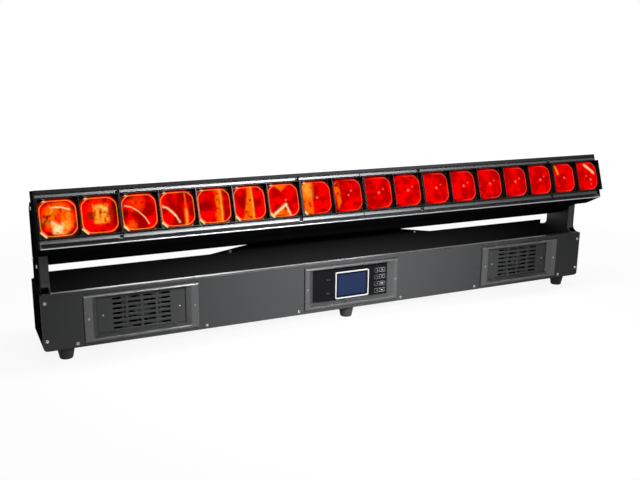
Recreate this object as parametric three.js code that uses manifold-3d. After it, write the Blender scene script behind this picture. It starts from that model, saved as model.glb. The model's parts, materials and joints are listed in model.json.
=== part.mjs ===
// A motorised tilting LED batten for stage use, in millimetres, with +Z up and +X along the bar.
// A sheet-metal base stands on rubber feet and carries two yoke arms. A long head turns between
// them, with eighteen square lenses that slide in and out for zoom.
// Inside the source, Y is 0 at the front panel's face and Z is 0 under the feet. The last lines
// centre the whole object over its origin.
import * as THREE from 'three';
import { mergeVertices } from 'three/addons/utils/BufferGeometryUtils.js';
import Module from 'manifold-3d';

const wasm = await Module();
wasm.setup();

// Clearances shared by every piece
const fit = 0.3;
const runningFit = 0.08;
const overrun = 2;
const sheet = 1.5;
const weld = 0.0001;

// Segments round a circle
const fine = 32;
const medium = 16;
const coarse = 8;
const tiny = 6;
const cornerSegments = 3;

// The base
const base = {
  length: 1000,
  depth: 96,
  frontHeight: 85,
  rearHeight: 93,
  humpHeight: 106,
  humpHalfTop: 133,
  humpHalfFoot: 217,
  cornerRadius: 6,
  deckHeight: 54,
  flangeWidth: 12,
  topFlange: 9,
  topBend: 2,
};
const foot = {
  height: 20,
  topRadius: 14,
  bottomRadius: 10,
  fromEnd: 33.5,
  inset: 19,
  stripHalf: 7,
  stripThickness: 1.6,
};
const floorZ = foot.height;
const halfLength = base.length / 2;
const frontTop = floorZ + base.frontHeight;
const rearTop = floorZ + base.rearHeight;
const humpTop = floorZ + base.humpHeight;
const deckTop = floorZ + base.deckHeight;
const rearInner = base.depth - sheet;
const trayFront = sheet + fit;
const trayRear = rearInner - fit;

// The yoke arms
const arm = {
  endInset: 2,
  thickness: 15,
  coverThickness: 2,
  innerPlate: 2.5,
  wall: 2.2,
  halfWidth: 29.7,
  flareHeight: 13,
  flareInset: 0.6,
  shoulderRise: 23,
  crownHalf: 14,
  crownRise: 35,
  bossThickness: 2.5,
  bossRadius: 18,
  screwInset: 6.6,
  screwDrop: 52.5,
};
const armOuterX = halfLength - arm.endInset;
const armInnerX = armOuterX - arm.thickness;
const armRimX = armOuterX - arm.coverThickness - fit;
const pivot = { y: base.depth / 2, z: 194 };

// The tilt drive
const shaft = { radius: 8, flangeRadius: 20, flangeThickness: 3.3 };
const bearing = { outerRadius: 14, width: 4.4 };
const drive = {
  headRadius: 24,
  motorRadius: 6,
  width: 6,
  beltWidth: 5,
  beltThickness: 1.4,
  motorZ: 46,
  motorSize: 42,
  motorLength: 38,
  motorShaftRadius: 2.5,
  shaftPassRadius: 9,
};

// The head, in its own frame: -Y is the way the lenses look, and Z 0 is the trunnion
const head = {
  tiltDegrees: 19,
  overhang: 1,
  cap: 1.8,
  skin: 1.5,
  stepY: 41,
  faceY: 82,
  halfHeight: 40.4,
  rearY: 50,
};
const headHalf = halfLength + head.overhang;
const headInnerX = headHalf - head.cap;
const bodyHalf = armInnerX - 2;
const bodyInnerX = bodyHalf - head.cap;

// The lenses and their carriers. From each end the row is moulded in a set of two, then in fives,
// and what is left at the middle is a set too.
const lens = {
  pitch: 55.5,
  spare: 0.5,
  endSet: 2,
  fullSet: 5,
  halfSize: 25.5,
  corner: 9,
  frontY: 87,
  domeY: 86.2,
  edgeY: 84.4,
  rimY: 83,
  backY: 71.7,
  webThickness: 3,
  webHalfHeight: 14,
  edgeInset: 0.7,
  domeInset: 11,
  tipInset: 20,
};
const carrier = {
  plateY: 75,
  plateThickness: 3,
  halfHeight: 27.6,
  frontY: 92.2,
  wall: 1,
  finThickness: 1.5,
  setFinThickness: 3.5,
  bossRadius: 4.6,
  bossFrontY: 81.5,
  bossZ: 23.4,
  middleGap: 0.3,
  rodRadius: 3,
  rodZ: 24,
  rodTailY: 14,
};
const zoomDrive = { halfHeight: 6, frontY: 22, overhang: 10, motorHalf: 18, motorDrop: 9 };
const board = { behind: 9.5, thickness: 1.6, halfHeight: 22, emitterSize: 12, emitterHeight: 2 };
const sink = { plate: 4, finHeight: 33, finThickness: 3, finPitch: 18, halfHeight: 34 };
const bezel = {
  rearY: 62,
  frontY: 80,
  noseY: 82,
  innerZ: 28,
  chamfer: 2,
  topNoseZ: 33.6,
  topStepZ: 34.6,
  topBackY: 79.5,
  topOuterZ: 38.9,
  topOuterRearZ: 41.5,
  lowBackY: 79,
  lowStepZ: 33.5,
  lowOuterZ: 38.6,
  lowOuterRearZ: 41.8,
  seam: 0.5,
  notchWidth: 6,
  notchDepth: 3.6,
  notchHeight: 7,
};

// Front of the base
const vent = {
  fromEnd: 145.5,
  side: 13,
  lead: 7.7,
  innerWidth: 133.6,
  slotWidth: 18.8,
  slotHeight: 3.4,
  slotPitchX: 22.7,
  slotPitchZ: 7.63,
  columns: 4,
  rows: 7,
  screwInset: 7.5,
};
const ventX = halfLength - vent.fromEnd;
const recessWidth = (spec) => spec.innerWidth + spec.lead * 2;
const outerWidth = (spec) => recessWidth(spec) + spec.side * 2;
const display = {
  centreX: 0,
  side: 8.5,
  lead: 10,
  innerWidth: 140,
  screwInset: 5,
};
const frame = {
  low: 5,
  high: 79.3,
  proud: 3,
  bevelTop: 4,
  bevelSide: 1.5,
  margin: 5.5,
  innerLow: 15.5,
  innerHigh: 70.3,
  floorY: 5.2,
  rearY: 7.2,
  sleeveInset: 4,
  pocket: 2.5,
};
const plateY = frame.floorY + fit;
const grilleThickness = 1.4;
const screen = {
  lowX: -28.8,
  highX: 34.9,
  low: 17,
  high: 63.8,
  ring: 3.6,
  ringDepth: 1.6,
  corner: 4,
  depth: 3.4,
};
const key = {
  x: 57.2,
  topZ: 59,
  pitch: 12.05,
  width: 22,
  height: 8,
  corner: 2.5,
  depth: 4,
  proud: 1,
  travel: 1,
  count: 4,
};
const lamp = { x: -41.5, z: 40.5, spacing: 14, radius: 1.6, proud: 0.4 };
const hood = { clearance: 3, rearY: 24.5, height: 77.5 };

// Fans behind the vents
const fan = {
  size: 60,
  depth: 15,
  bore: 28,
  hub: 12,
  post: 2.2,
  blade: 26.5,
  bladeThickness: 1.6,
  bladePitchDegrees: 38,
  blades: 7,
  strut: 4,
  strutDegrees: [45, 135, 225, 315],
};

// Inside the base
const psu = { lowX: 130, highX: 320, rearInset: 6, depth: 56, height: 40 };
const driver = {
  lowX: -330,
  highX: -110,
  rearInset: 8,
  depth: 48,
  thickness: 1.6,
  post: 6,
  part: 12,
  pitch: 26.4,
};
const control = { halfWidth: 79, low: 12, high: 69, thickness: 1.6, switchSize: 6, chip: 14, chipDepth: 3 };

// Rear sockets and the clamp plates under the base
const socket = {
  powerX: [60, 104],
  dataX: [-60, -98],
  z: 36,
  powerRadius: 12,
  dataRadius: 10.5,
  flange: 15,
  flangeThickness: 2.4,
  depth: 22,
  recess: 8,
  lip: 2,
};
const clamp = { x: 210, width: 90, depth: 40, thickness: 3, holeRadius: 6.5, holeSpacing: 60 };

// Holes for the small screws
const screw = { holeRadius: 1.9, headRadius: 3.1 };
const capScrew = { holeRadius: 1.5, length: 5 };
const frontScrews = {
  cornerInset: 6,
  cornerDrop: 12.5,
  cornerRise: 15.5,
  endInset: 48.2,
  ventGap: 12,
  displayGap: 8.8,
  rowRise: 6,
};
const humpScrew = { x: 182, z: 94.2 };

function paint(color, roughness, metalness) {
  return new THREE.MeshStandardMaterial({ color, roughness, metalness });
}

const looks = {
  panel: paint(0x3a3b3c, 0.55, 0.3),
  black: paint(0x111112, 0.5, 0.2),
  plastic: paint(0x161617, 0.4, 0),
  arm: paint(0x2c2d2e, 0.5, 0.3),
  bezel: paint(0x55585a, 0.4, 0.5),
  aluminium: paint(0xa9abad, 0.4, 0.9),
  steel: paint(0xc4c4c6, 0.3, 1),
  rubber: paint(0x343434, 0.85, 0),
  red: paint(0xff1000, 0.2, 0),
  blue: paint(0x2d416e, 0.2, 0),
  white: paint(0xe8e8e4, 0.4, 0),
  board: paint(0x14532c, 0.5, 0),
};

// Turn a closed three.js geometry into a solid that can be joined and cut
function toSolid(geometry) {
  const bare = geometry.clone();
  bare.deleteAttribute('normal');
  bare.deleteAttribute('uv');
  const welded = mergeVertices(bare, weld);
  const vertProperties = new Float32Array(welded.attributes.position.array);
  const triVerts = new Uint32Array(welded.index.array);
  return new wasm.Manifold(new wasm.Mesh({ numProp: 3, vertProperties, triVerts }));
}

function toGeometry(solid) {
  const mesh = solid.getMesh();
  const geometry = new THREE.BufferGeometry();
  geometry.setAttribute('position', new THREE.BufferAttribute(new Float32Array(mesh.vertProperties), 3));
  geometry.setIndex(new THREE.BufferAttribute(new Uint32Array(mesh.triVerts), 1));
  geometry.computeVertexNormals();
  return geometry;
}

function join(solids) {
  return solids.reduce((whole, next) => whole.add(next));
}

function cut(solid, tools) {
  return tools.reduce((whole, tool) => whole.subtract(tool), solid);
}

// A box from its lowest to its highest corner
function block(x, y, z) {
  const geometry = new THREE.BoxGeometry(x[1] - x[0], y[1] - y[0], z[1] - z[0]);
  geometry.translate((x[0] + x[1]) / 2, (y[0] + y[1]) / 2, (z[0] + z[1]) / 2);
  return toSolid(geometry);
}

function outline(points) {
  return new THREE.Shape(points.map(([a, b]) => new THREE.Vector2(a, b)));
}

// An outline in Y and Z, carried along X
function alongX(shape, x0, x1) {
  const settings = { depth: x1 - x0, bevelEnabled: false, curveSegments: coarse };
  const geometry = new THREE.ExtrudeGeometry(shape, settings);
  const turn = new THREE.Matrix4().makeBasis(
    new THREE.Vector3(0, 1, 0),
    new THREE.Vector3(0, 0, 1),
    new THREE.Vector3(1, 0, 0),
  );
  geometry.applyMatrix4(turn);
  geometry.translate(x0, 0, 0);
  return toSolid(geometry);
}

// An outline in X and Z, carried along Y
function alongY(shape, y0, y1) {
  const settings = { depth: y1 - y0, bevelEnabled: false, curveSegments: cornerSegments };
  const geometry = new THREE.ExtrudeGeometry(shape, settings);
  geometry.rotateX(Math.PI / 2);
  geometry.translate(0, y1, 0);
  return toSolid(geometry);
}

// A round bar along one axis: at gives the two other coordinates in X, Y, Z order
function bar(axis, from, to, at, radius, segments, farRadius = radius) {
  const geometry = new THREE.CylinderGeometry(farRadius, radius, to - from, segments);
  const middle = (from + to) / 2;
  if (axis === 'x') {
    geometry.rotateZ(-Math.PI / 2);
    geometry.translate(middle, at[0], at[1]);
  } else if (axis === 'y') {
    geometry.translate(at[0], middle, at[1]);
  } else {
    geometry.rotateX(Math.PI / 2);
    geometry.translate(at[0], at[1], middle);
  }
  return toSolid(geometry);
}

// A closed skin through rings of points, each ring seen the same way round
function loft(rings) {
  const size = rings[0].length;
  const positions = rings.flat(2);
  const index = [];
  for (let ring = 0; ring + 1 < rings.length; ring += 1) {
    for (let i = 0; i < size; i += 1) {
      const a = ring * size + i;
      const b = ring * size + ((i + 1) % size);
      index.push(a, b, b + size, a, b + size, a + size);
    }
  }
  const last = (rings.length - 1) * size;
  for (let i = 1; i + 1 < size; i += 1) {
    index.push(0, i + 1, i);
    index.push(last, last + i, last + i + 1);
  }
  const geometry = new THREE.BufferGeometry();
  geometry.setAttribute('position', new THREE.BufferAttribute(new Float32Array(positions), 3));
  geometry.setIndex(index);
  return toSolid(geometry);
}

// A rectangle in X and Z at one Y, as a ring for a loft that grows towards +Y
function rectangleRing(x, z, y) {
  return [
    [x[0], y, z[0]],
    [x[0], y, z[1]],
    [x[1], y, z[1]],
    [x[1], y, z[0]],
  ];
}

// A square with cut corners, as a ring for a loft that grows towards +Y
function cutSquareRing(centreX, y, half, corner) {
  const inner = half - corner;
  const points = [
    [-half, -inner],
    [-half, inner],
    [-inner, half],
    [inner, half],
    [half, inner],
    [half, -inner],
    [inner, -half],
    [-inner, -half],
  ];
  return points.map(([x, z]) => [centreX + x, y, z]);
}

function cutSquare(centreX, y0, y1, half, corner) {
  return loft([cutSquareRing(centreX, y0, half, corner), cutSquareRing(centreX, y1, half, corner)]);
}

// A sheet that follows a row of points, with its thickness to the left of the way it runs
function strip(points, thickness) {
  const offset = points.map((point, i) => {
    const before = points[Math.max(i - 1, 0)];
    const after = points[Math.min(i + 1, points.length - 1)];
    const first = new THREE.Vector2(point[0] - before[0], point[1] - before[1]).normalize();
    const second = new THREE.Vector2(after[0] - point[0], after[1] - point[1]).normalize();
    if (i === 0) first.copy(second);
    if (i === points.length - 1) second.copy(first);
    const along = first.clone().add(second).normalize();
    const reach = thickness / along.dot(second);
    return [point[0] - along.y * reach, point[1] + along.x * reach];
  });
  return outline([...points, ...offset.reverse()]);
}

function roundedRectangle(x, z, radius) {
  const shape = new THREE.Shape();
  shape.moveTo(x[0] + radius, z[0]);
  shape.lineTo(x[1] - radius, z[0]);
  shape.absarc(x[1] - radius, z[0] + radius, radius, -Math.PI / 2, 0);
  shape.lineTo(x[1], z[1] - radius);
  shape.absarc(x[1] - radius, z[1] - radius, radius, 0, Math.PI / 2);
  shape.lineTo(x[0] + radius, z[1]);
  shape.absarc(x[0] + radius, z[1] - radius, radius, Math.PI / 2, Math.PI);
  shape.lineTo(x[0], z[0] + radius);
  shape.absarc(x[0] + radius, z[0] + radius, radius, Math.PI, Math.PI * 1.5);
  return shape;
}

// The end view of the base, with its two bottom corners rounded
function basePlate(halfWidth, low, topPoints, radius) {
  const shape = new THREE.Shape();
  shape.moveTo(-halfWidth + radius, low);
  shape.lineTo(halfWidth - radius, low);
  shape.absarc(halfWidth - radius, low + radius, radius, -Math.PI / 2, 0);
  topPoints.forEach(([x, z]) => shape.lineTo(x, z));
  shape.lineTo(-halfWidth, low + radius);
  shape.absarc(-halfWidth + radius, low + radius, radius, Math.PI, Math.PI * 1.5);
  return shape;
}

const fixture = new THREE.Group();
const headGroup = new THREE.Group();
headGroup.position.set(0, pivot.y, pivot.z);
headGroup.rotation.x = -THREE.MathUtils.degToRad(head.tiltDegrees);
fixture.add(headGroup);

function add(group, name, solid, material) {
  const mesh = new THREE.Mesh(toGeometry(solid), material);
  mesh.name = name;
  group.add(mesh);
}

const sides = [
  { name: 'left', sign: -1 },
  { name: 'right', sign: 1 },
];

function span(sign, near, far) {
  return sign > 0 ? [near, far] : [-far, -near];
}

// Where the front and rear screws sit, as X and Z
const screwRowX = [
  halfLength - frontScrews.endInset,
  ventX - outerWidth(vent) / 2 - frontScrews.ventGap,
  outerWidth(display) / 2 + frontScrews.displayGap,
];
const panelScrewPlaces = sides.flatMap(({ sign }) => [
  [sign * (halfLength - frontScrews.cornerInset), frontTop - frontScrews.cornerDrop],
  [sign * (halfLength - frontScrews.cornerInset), floorZ + frontScrews.cornerRise],
  ...screwRowX.map((x) => [sign * x, floorZ + frontScrews.rowRise]),
]);
const frameScrewZ = floorZ + (frame.low + frame.high) / 2;
const frameScrewX = (spec) => outerWidth(spec) / 2 - spec.screwInset;
const frameScrewPlaces = sides.flatMap(({ sign }) => [
  [sign * ventX - frameScrewX(vent), frameScrewZ],
  [sign * ventX + frameScrewX(vent), frameScrewZ],
  [sign * frameScrewX(display), frameScrewZ],
]);

function holesAlongY(places, y0, y1, radius, segments) {
  return places.map((at) => bar('y', y0 - overrun, y1 + overrun, at, radius, segments));
}

// Base tray: floor, end walls, the folded flanges that the panels screw to, and a welded pad
// under each end of the floor with two quarter-turn holes for a hanging clamp
function makeTray() {
  const wallTop = [
    [halfLength, frontTop],
    [-halfLength, frontTop],
  ];
  const outer = alongY(basePlate(halfLength, floorZ, wallTop, base.cornerRadius), trayFront, trayRear);
  const innerX = halfLength - sheet;
  const innerRadius = base.cornerRadius - sheet;
  const innerTop = [
    [innerX, frontTop + overrun],
    [-innerX, frontTop + overrun],
  ];
  const cavityShape = basePlate(innerX, floorZ + sheet, innerTop, innerRadius);
  const cavity = alongY(cavityShape, trayFront + sheet, trayRear - sheet);
  const windowX = halfLength - base.flangeWidth;
  const windowZ = [floorZ + frame.low + frame.sleeveInset - fit, frontTop + overrun];
  const opening = block([-windowX, windowX], [-overrun, base.depth + overrun], windowZ);
  const pads = sides.map(({ sign }) => {
    const x = [sign * clamp.x - clamp.width / 2, sign * clamp.x + clamp.width / 2];
    const y = [pivot.y - clamp.depth / 2, pivot.y + clamp.depth / 2];
    return block(x, y, [floorZ - clamp.thickness, floorZ + sheet / 2]);
  });
  const holes = sides.flatMap(({ sign }) => [-1, 1].map((place) => {
    const at = [sign * clamp.x + (place * clamp.holeSpacing) / 2, pivot.y];
    const z = [floorZ - clamp.thickness - overrun, floorZ + sheet + overrun];
    return bar('z', ...z, at, clamp.holeRadius, coarse);
  }));
  return cut(join([cut(outer, [cavity, opening]), ...pads]), holes);
}
add(fixture, 'base_tray', makeTray(), looks.black);

// A frame's opening in the front panel
function frameSleeve(spec) {
  const half = outerWidth(spec) / 2 - frame.sleeveInset;
  return {
    x: [spec.centreX - half, spec.centreX + half],
    z: [floorZ + frame.low + frame.sleeveInset, floorZ + frame.high - frame.sleeveInset],
  };
}

const ventSpecs = sides.map(({ name, sign }) => ({ ...vent, name, centreX: sign * ventX }));
const frameSpecs = [...ventSpecs, display];

// Front panel: one sheet with a folded top edge between the arms and three openings
function makeFrontPanel() {
  const plateTop = [
    [halfLength, frontTop],
    [armInnerX, frontTop],
    [armInnerX, frontTop - base.topBend],
    [-armInnerX, frontTop - base.topBend],
    [-armInnerX, frontTop],
    [-halfLength, frontTop],
  ];
  const plate = alongY(basePlate(halfLength, floorZ, plateTop, base.cornerRadius), 0, sheet);
  const fold = new THREE.Shape();
  fold.moveTo(0, frontTop - base.topBend * 2);
  fold.lineTo(sheet, frontTop - base.topBend * 2);
  fold.lineTo(sheet, frontTop - base.topBend);
  fold.lineTo(base.topBend, frontTop - sheet);
  fold.lineTo(base.topFlange, frontTop - sheet);
  fold.lineTo(base.topFlange, frontTop);
  fold.lineTo(base.topBend, frontTop);
  fold.absarc(base.topBend, frontTop - base.topBend, base.topBend, Math.PI / 2, Math.PI);
  const foldHalf = armInnerX - fit;
  const edge = alongX(fold, -foldHalf, foldHalf);
  const openings = frameSpecs.map((spec) => {
    const { x, z } = frameSleeve(spec);
    return block([x[0] - fit, x[1] + fit], [-overrun, sheet + overrun], [z[0] - fit, z[1] + fit]);
  });
  const holes = holesAlongY(panelScrewPlaces, 0, sheet, screw.holeRadius, tiny);
  return cut(join([plate, edge]), [...openings, ...holes]);
}
add(fixture, 'front_panel', makeFrontPanel(), looks.panel);

// Rear panel: its middle rises in a low hump
const humpScrewPlaces = sides.map(({ sign }) => [sign * humpScrew.x, floorZ + humpScrew.z]);
function makeRearPanel() {
  const armSideX = armInnerX - fit;
  const top = [
    [halfLength, frontTop],
    [armSideX, frontTop],
    [armSideX, rearTop],
    [base.humpHalfFoot, rearTop],
    [base.humpHalfTop, humpTop],
    [-base.humpHalfTop, humpTop],
    [-base.humpHalfFoot, rearTop],
    [-armSideX, rearTop],
    [-armSideX, frontTop],
    [-halfLength, frontTop],
  ];
  const plate = alongY(basePlate(halfLength, floorZ, top, base.cornerRadius), rearInner, base.depth);
  const screwPlaces = [...panelScrewPlaces, ...humpScrewPlaces];
  const screwHoles = holesAlongY(screwPlaces, rearInner, base.depth, screw.holeRadius, tiny);
  const z = floorZ + socket.z;
  const power = socket.powerX.map((x) => [x, z]);
  const data = socket.dataX.map((x) => [x, z]);
  const powerHoles = holesAlongY(power, rearInner, base.depth, socket.powerRadius + fit, medium);
  const dataHoles = holesAlongY(data, rearInner, base.depth, socket.dataRadius + fit, medium);
  return cut(plate, [...screwHoles, ...powerHoles, ...dataHoles]);
}
add(fixture, 'rear_panel', makeRearPanel(), looks.black);

// Deck cover: the lid over the electronics, with a raised hood behind each front opening
function makeDeck() {
  const halfX = armInnerX - fit;
  const lid = block([-halfX, halfX], [trayFront, trayRear], [deckTop - sheet, deckTop]);
  const hoodTop = floorZ + hood.height;
  const hoods = frameSpecs.map((spec) => {
    const half = outerWidth(spec) / 2 + hood.clearance;
    const x = [spec.centreX - half, spec.centreX + half];
    return block(x, [trayFront, hood.rearY], [deckTop - sheet, hoodTop]);
  });
  const hollows = frameSpecs.map((spec) => {
    const half = outerWidth(spec) / 2 + hood.clearance - sheet;
    const x = [spec.centreX - half, spec.centreX + half];
    const y = [trayFront - overrun, hood.rearY - sheet];
    return block(x, y, [deckTop - sheet - overrun, hoodTop - sheet]);
  });
  return cut(join([lid, ...hoods]), hollows);
}
add(fixture, 'deck_cover', makeDeck(), looks.black);

// The end view of a yoke arm, drawn in from its true edge by an inset
function armOutline(inset) {
  const low = floorZ + base.cornerRadius + fit + inset;
  const wide = pivot.y - trayFront - sheet - fit - inset;
  const flare = pivot.y - arm.flareInset - inset;
  const waist = arm.halfWidth - inset;
  const ledge = frontTop + fit + inset;
  const flareRise = arm.flareHeight;
  const shape = new THREE.Shape();
  const y = (offset) => pivot.y + offset;
  shape.moveTo(y(-wide), low);
  shape.lineTo(y(wide), low);
  shape.lineTo(y(wide), ledge);
  shape.lineTo(y(flare), ledge);
  shape.quadraticCurveTo(y(waist), ledge, y(waist), ledge + flareRise);
  shape.lineTo(y(waist), pivot.z + arm.shoulderRise - inset);
  shape.lineTo(y(arm.crownHalf - inset), pivot.z + arm.crownRise - inset);
  shape.lineTo(y(inset - arm.crownHalf), pivot.z + arm.crownRise - inset);
  shape.lineTo(y(-waist), pivot.z + arm.shoulderRise - inset);
  shape.lineTo(y(-waist), ledge + flareRise);
  shape.quadraticCurveTo(y(-waist), ledge, y(-flare), ledge);
  shape.lineTo(y(-wide), ledge);
  return shape;
}

const armScrewPlaces = [
  [pivot.y, pivot.z + arm.crownRise - arm.screwInset],
  [pivot.y - arm.halfWidth + arm.screwInset, pivot.z - arm.screwDrop],
  [pivot.y + arm.halfWidth - arm.screwInset, pivot.z - arm.screwDrop],
];

sides.forEach(({ name, sign }) => {
  const full = alongX(armOutline(0), ...span(sign, armInnerX, armRimX));
  const hollow = alongX(armOutline(arm.wall), ...span(sign, armInnerX + arm.innerPlate, armRimX + overrun));
  const bossX = span(sign, armInnerX, armInnerX + arm.innerPlate + arm.bossThickness);
  const at = [pivot.y, pivot.z];
  const boss = bar('x', ...bossX, at, arm.bossRadius, fine);
  const seat = bar('x', ...span(sign, armInnerX - overrun, armRimX), at, bearing.outerRadius + fit, fine);
  const passX = span(sign, armInnerX - overrun, armInnerX + arm.innerPlate + overrun);
  const pass = bar('x', ...passX, [pivot.y, drive.motorZ], drive.shaftPassRadius, medium);
  add(fixture, `yoke_arm_${name}`, cut(join([cut(full, [hollow]), boss]), [seat, pass]), looks.arm);

  const coverX = span(sign, armOuterX - arm.coverThickness, armOuterX);
  const cover = alongX(armOutline(0), ...coverX);
  const holes = armScrewPlaces.map((place) => {
    const holeX = span(sign, armOuterX - arm.coverThickness - overrun, armOuterX + overrun);
    return bar('x', ...holeX, place, screw.holeRadius, tiny);
  });
  add(fixture, `arm_cover_${name}`, cut(cover, holes), looks.black);
});

// A frame round a front opening: bevelled outside, with a recess that narrows to its floor
function makeFrame(spec) {
  const half = outerWidth(spec) / 2;
  const x = [spec.centreX - half, spec.centreX + half];
  const z = [floorZ + frame.low, floorZ + frame.high];
  const side = frame.bevelSide;
  const face = loft([
    rectangleRing([x[0] + side, x[1] - side], [z[0] + side, z[1] - frame.bevelTop], -frame.proud),
    rectangleRing(x, z, -fit),
  ]);
  const sleeveSize = frameSleeve(spec);
  const sleeve = block(sleeveSize.x, [-fit, frame.rearY], sleeveSize.z);
  const recessX = [spec.centreX - recessWidth(spec) / 2, spec.centreX + recessWidth(spec) / 2];
  const innerX = [spec.centreX - spec.innerWidth / 2, spec.centreX + spec.innerWidth / 2];
  const recessZ = [z[0] + frame.margin, z[1] - frame.margin];
  const innerZ = [floorZ + frame.innerLow, floorZ + frame.innerHigh];
  const slopeX = (innerX[0] - recessX[0]) / (frame.floorY + frame.proud);
  const slopeLow = (innerZ[0] - recessZ[0]) / (frame.floorY + frame.proud);
  const slopeHigh = (recessZ[1] - innerZ[1]) / (frame.floorY + frame.proud);
  const out = overrun;
  const recess = loft([
    rectangleRing(
      [recessX[0] - slopeX * out, recessX[1] + slopeX * out],
      [recessZ[0] - slopeLow * out, recessZ[1] + slopeHigh * out],
      -frame.proud - out,
    ),
    rectangleRing(innerX, innerZ, frame.floorY),
  ]);
  const pocketX = [innerX[0] - frame.pocket, innerX[1] + frame.pocket];
  const pocketZ = [innerZ[0] - frame.pocket, innerZ[1] + frame.pocket];
  const pocket = block(pocketX, [frame.floorY, frame.rearY + overrun], pocketZ);
  const holes = holesAlongY(frameScrewPlaces, -frame.proud, frame.rearY, screw.holeRadius, tiny);
  return cut(join([face, sleeve]), [recess, pocket, ...holes]);
}

// The plate that lies in a frame's pocket
function framePlate(spec, thickness) {
  const inset = frame.pocket - fit;
  const half = spec.innerWidth / 2 + inset;
  const z = [floorZ + frame.innerLow - inset, floorZ + frame.innerHigh + inset];
  return block([spec.centreX - half, spec.centreX + half], [plateY, plateY + thickness], z);
}

const plateMidZ = floorZ + (frame.innerLow + frame.innerHigh) / 2;

ventSpecs.forEach((spec) => {
  add(fixture, `vent_frame_${spec.name}`, makeFrame(spec), looks.panel);
  const slots = [];
  for (let column = 0; column < spec.columns; column += 1) {
    for (let row = 0; row < spec.rows; row += 1) {
      const x = spec.centreX + (column - (spec.columns - 1) / 2) * spec.slotPitchX;
      const z = plateMidZ + (row - (spec.rows - 1) / 2) * spec.slotPitchZ;
      const slotX = [x - spec.slotWidth / 2, x + spec.slotWidth / 2];
      const slotZ = [z - spec.slotHeight / 2, z + spec.slotHeight / 2];
      slots.push(block(slotX, [plateY - overrun, plateY + grilleThickness + overrun], slotZ));
    }
  }
  add(fixture, `vent_grille_${spec.name}`, cut(framePlate(spec, grilleThickness), slots), looks.panel);
});

// Display: frame, menu panel, screen and lamps
add(fixture, 'display_frame', makeFrame(display), looks.panel);

const keyPlaces = [];
for (let i = 0; i < key.count; i += 1) keyPlaces.push([key.x, floorZ + key.topZ - i * key.pitch]);
const lampPlaces = [1, -1].map((up) => [lamp.x, floorZ + lamp.z + (up * lamp.spacing) / 2]);
const glassX = [screen.lowX + screen.ring, screen.highX - screen.ring];
const glassZ = [floorZ + screen.low + screen.ring, floorZ + screen.high - screen.ring];

function keyShape([x, z], clearance) {
  const halfX = key.width / 2 + clearance;
  const halfZ = key.height / 2 + clearance;
  return roundedRectangle([x - halfX, x + halfX], [z - halfZ, z + halfZ], key.corner);
}

function makeMenuPanel() {
  const plate = framePlate(display, grilleThickness);
  const y = [plateY - overrun, plateY + grilleThickness + overrun];
  const windowHole = block([glassX[0] - fit, glassX[1] + fit], y, [glassZ[0] - fit, glassZ[1] + fit]);
  const keyHoles = keyPlaces.map((place) => alongY(keyShape(place, fit), ...y));
  const lampHoles = holesAlongY(lampPlaces, plateY, plateY + grilleThickness, lamp.radius + fit, coarse);
  return cut(plate, [windowHole, ...keyHoles, ...lampHoles]);
}
add(fixture, 'menu_panel', makeMenuPanel(), looks.plastic);

function makeScreenFrame() {
  const x = [screen.lowX, screen.highX];
  const z = [floorZ + screen.low, floorZ + screen.high];
  const y = [plateY - fit - screen.ringDepth, plateY - fit];
  const ring = alongY(roundedRectangle(x, z, screen.corner), ...y);
  const holeX = [glassX[0] - fit, glassX[1] + fit];
  const holeZ = [glassZ[0] - fit, glassZ[1] + fit];
  return cut(ring, [block(holeX, [y[0] - overrun, y[1] + overrun], holeZ)]);
}
add(fixture, 'screen_frame', makeScreenFrame(), looks.white);
const glassFront = plateY - screen.ringDepth;
add(fixture, 'screen', block(glassX, [glassFront, glassFront + screen.depth], glassZ), looks.blue);

keyPlaces.forEach((place, i) => {
  const keyFront = plateY - key.proud;
  add(fixture, `key_${i + 1}`, alongY(keyShape(place, 0), keyFront, keyFront + key.depth), looks.plastic);
});

// Control board behind the menu panel, with a press switch behind each key and two lamps
// that reach into the panel's holes
function makeControlBoard() {
  const switchFront = plateY - key.proud + key.depth + key.travel + fit;
  const boardFront = switchFront + key.travel * 2;
  const boardY = [boardFront, boardFront + control.thickness];
  const z = [floorZ + control.low, floorZ + control.high];
  const plate = block([-control.halfWidth, control.halfWidth], boardY, z);
  const half = control.switchSize / 2;
  const switches = keyPlaces.map(([x, height]) => {
    return block([x - half, x + half], [switchFront, boardFront + fit], [height - half, height + half]);
  });
  const chips = [-2, 0, 2].map((place) => {
    const x = place * control.chip;
    const low = floorZ + control.low + control.chip;
    const chipY = [boardY[1] - fit, boardY[1] + control.chipDepth];
    return block([x - control.chip / 2, x + control.chip / 2], chipY, [low, low + control.chip]);
  });
  const standoffs = sides.flatMap(({ sign }) => {
    const x = sign * (control.halfWidth - screw.headRadius * 2);
    return z.map((edge, i) => {
      const height = edge + (i === 0 ? 1 : -1) * screw.headRadius * 2;
      return bar('y', frame.rearY + fit, boardFront + fit, [x, height], screw.headRadius, coarse);
    });
  });
  const lampY = [plateY - lamp.proud, boardFront + fit];
  const lamps = lampPlaces.map((at) => bar('y', ...lampY, at, lamp.radius, coarse));
  return join([plate, ...switches, ...chips, ...standoffs, ...lamps]);
}
add(fixture, 'control_board', makeControlBoard(), looks.board);

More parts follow.
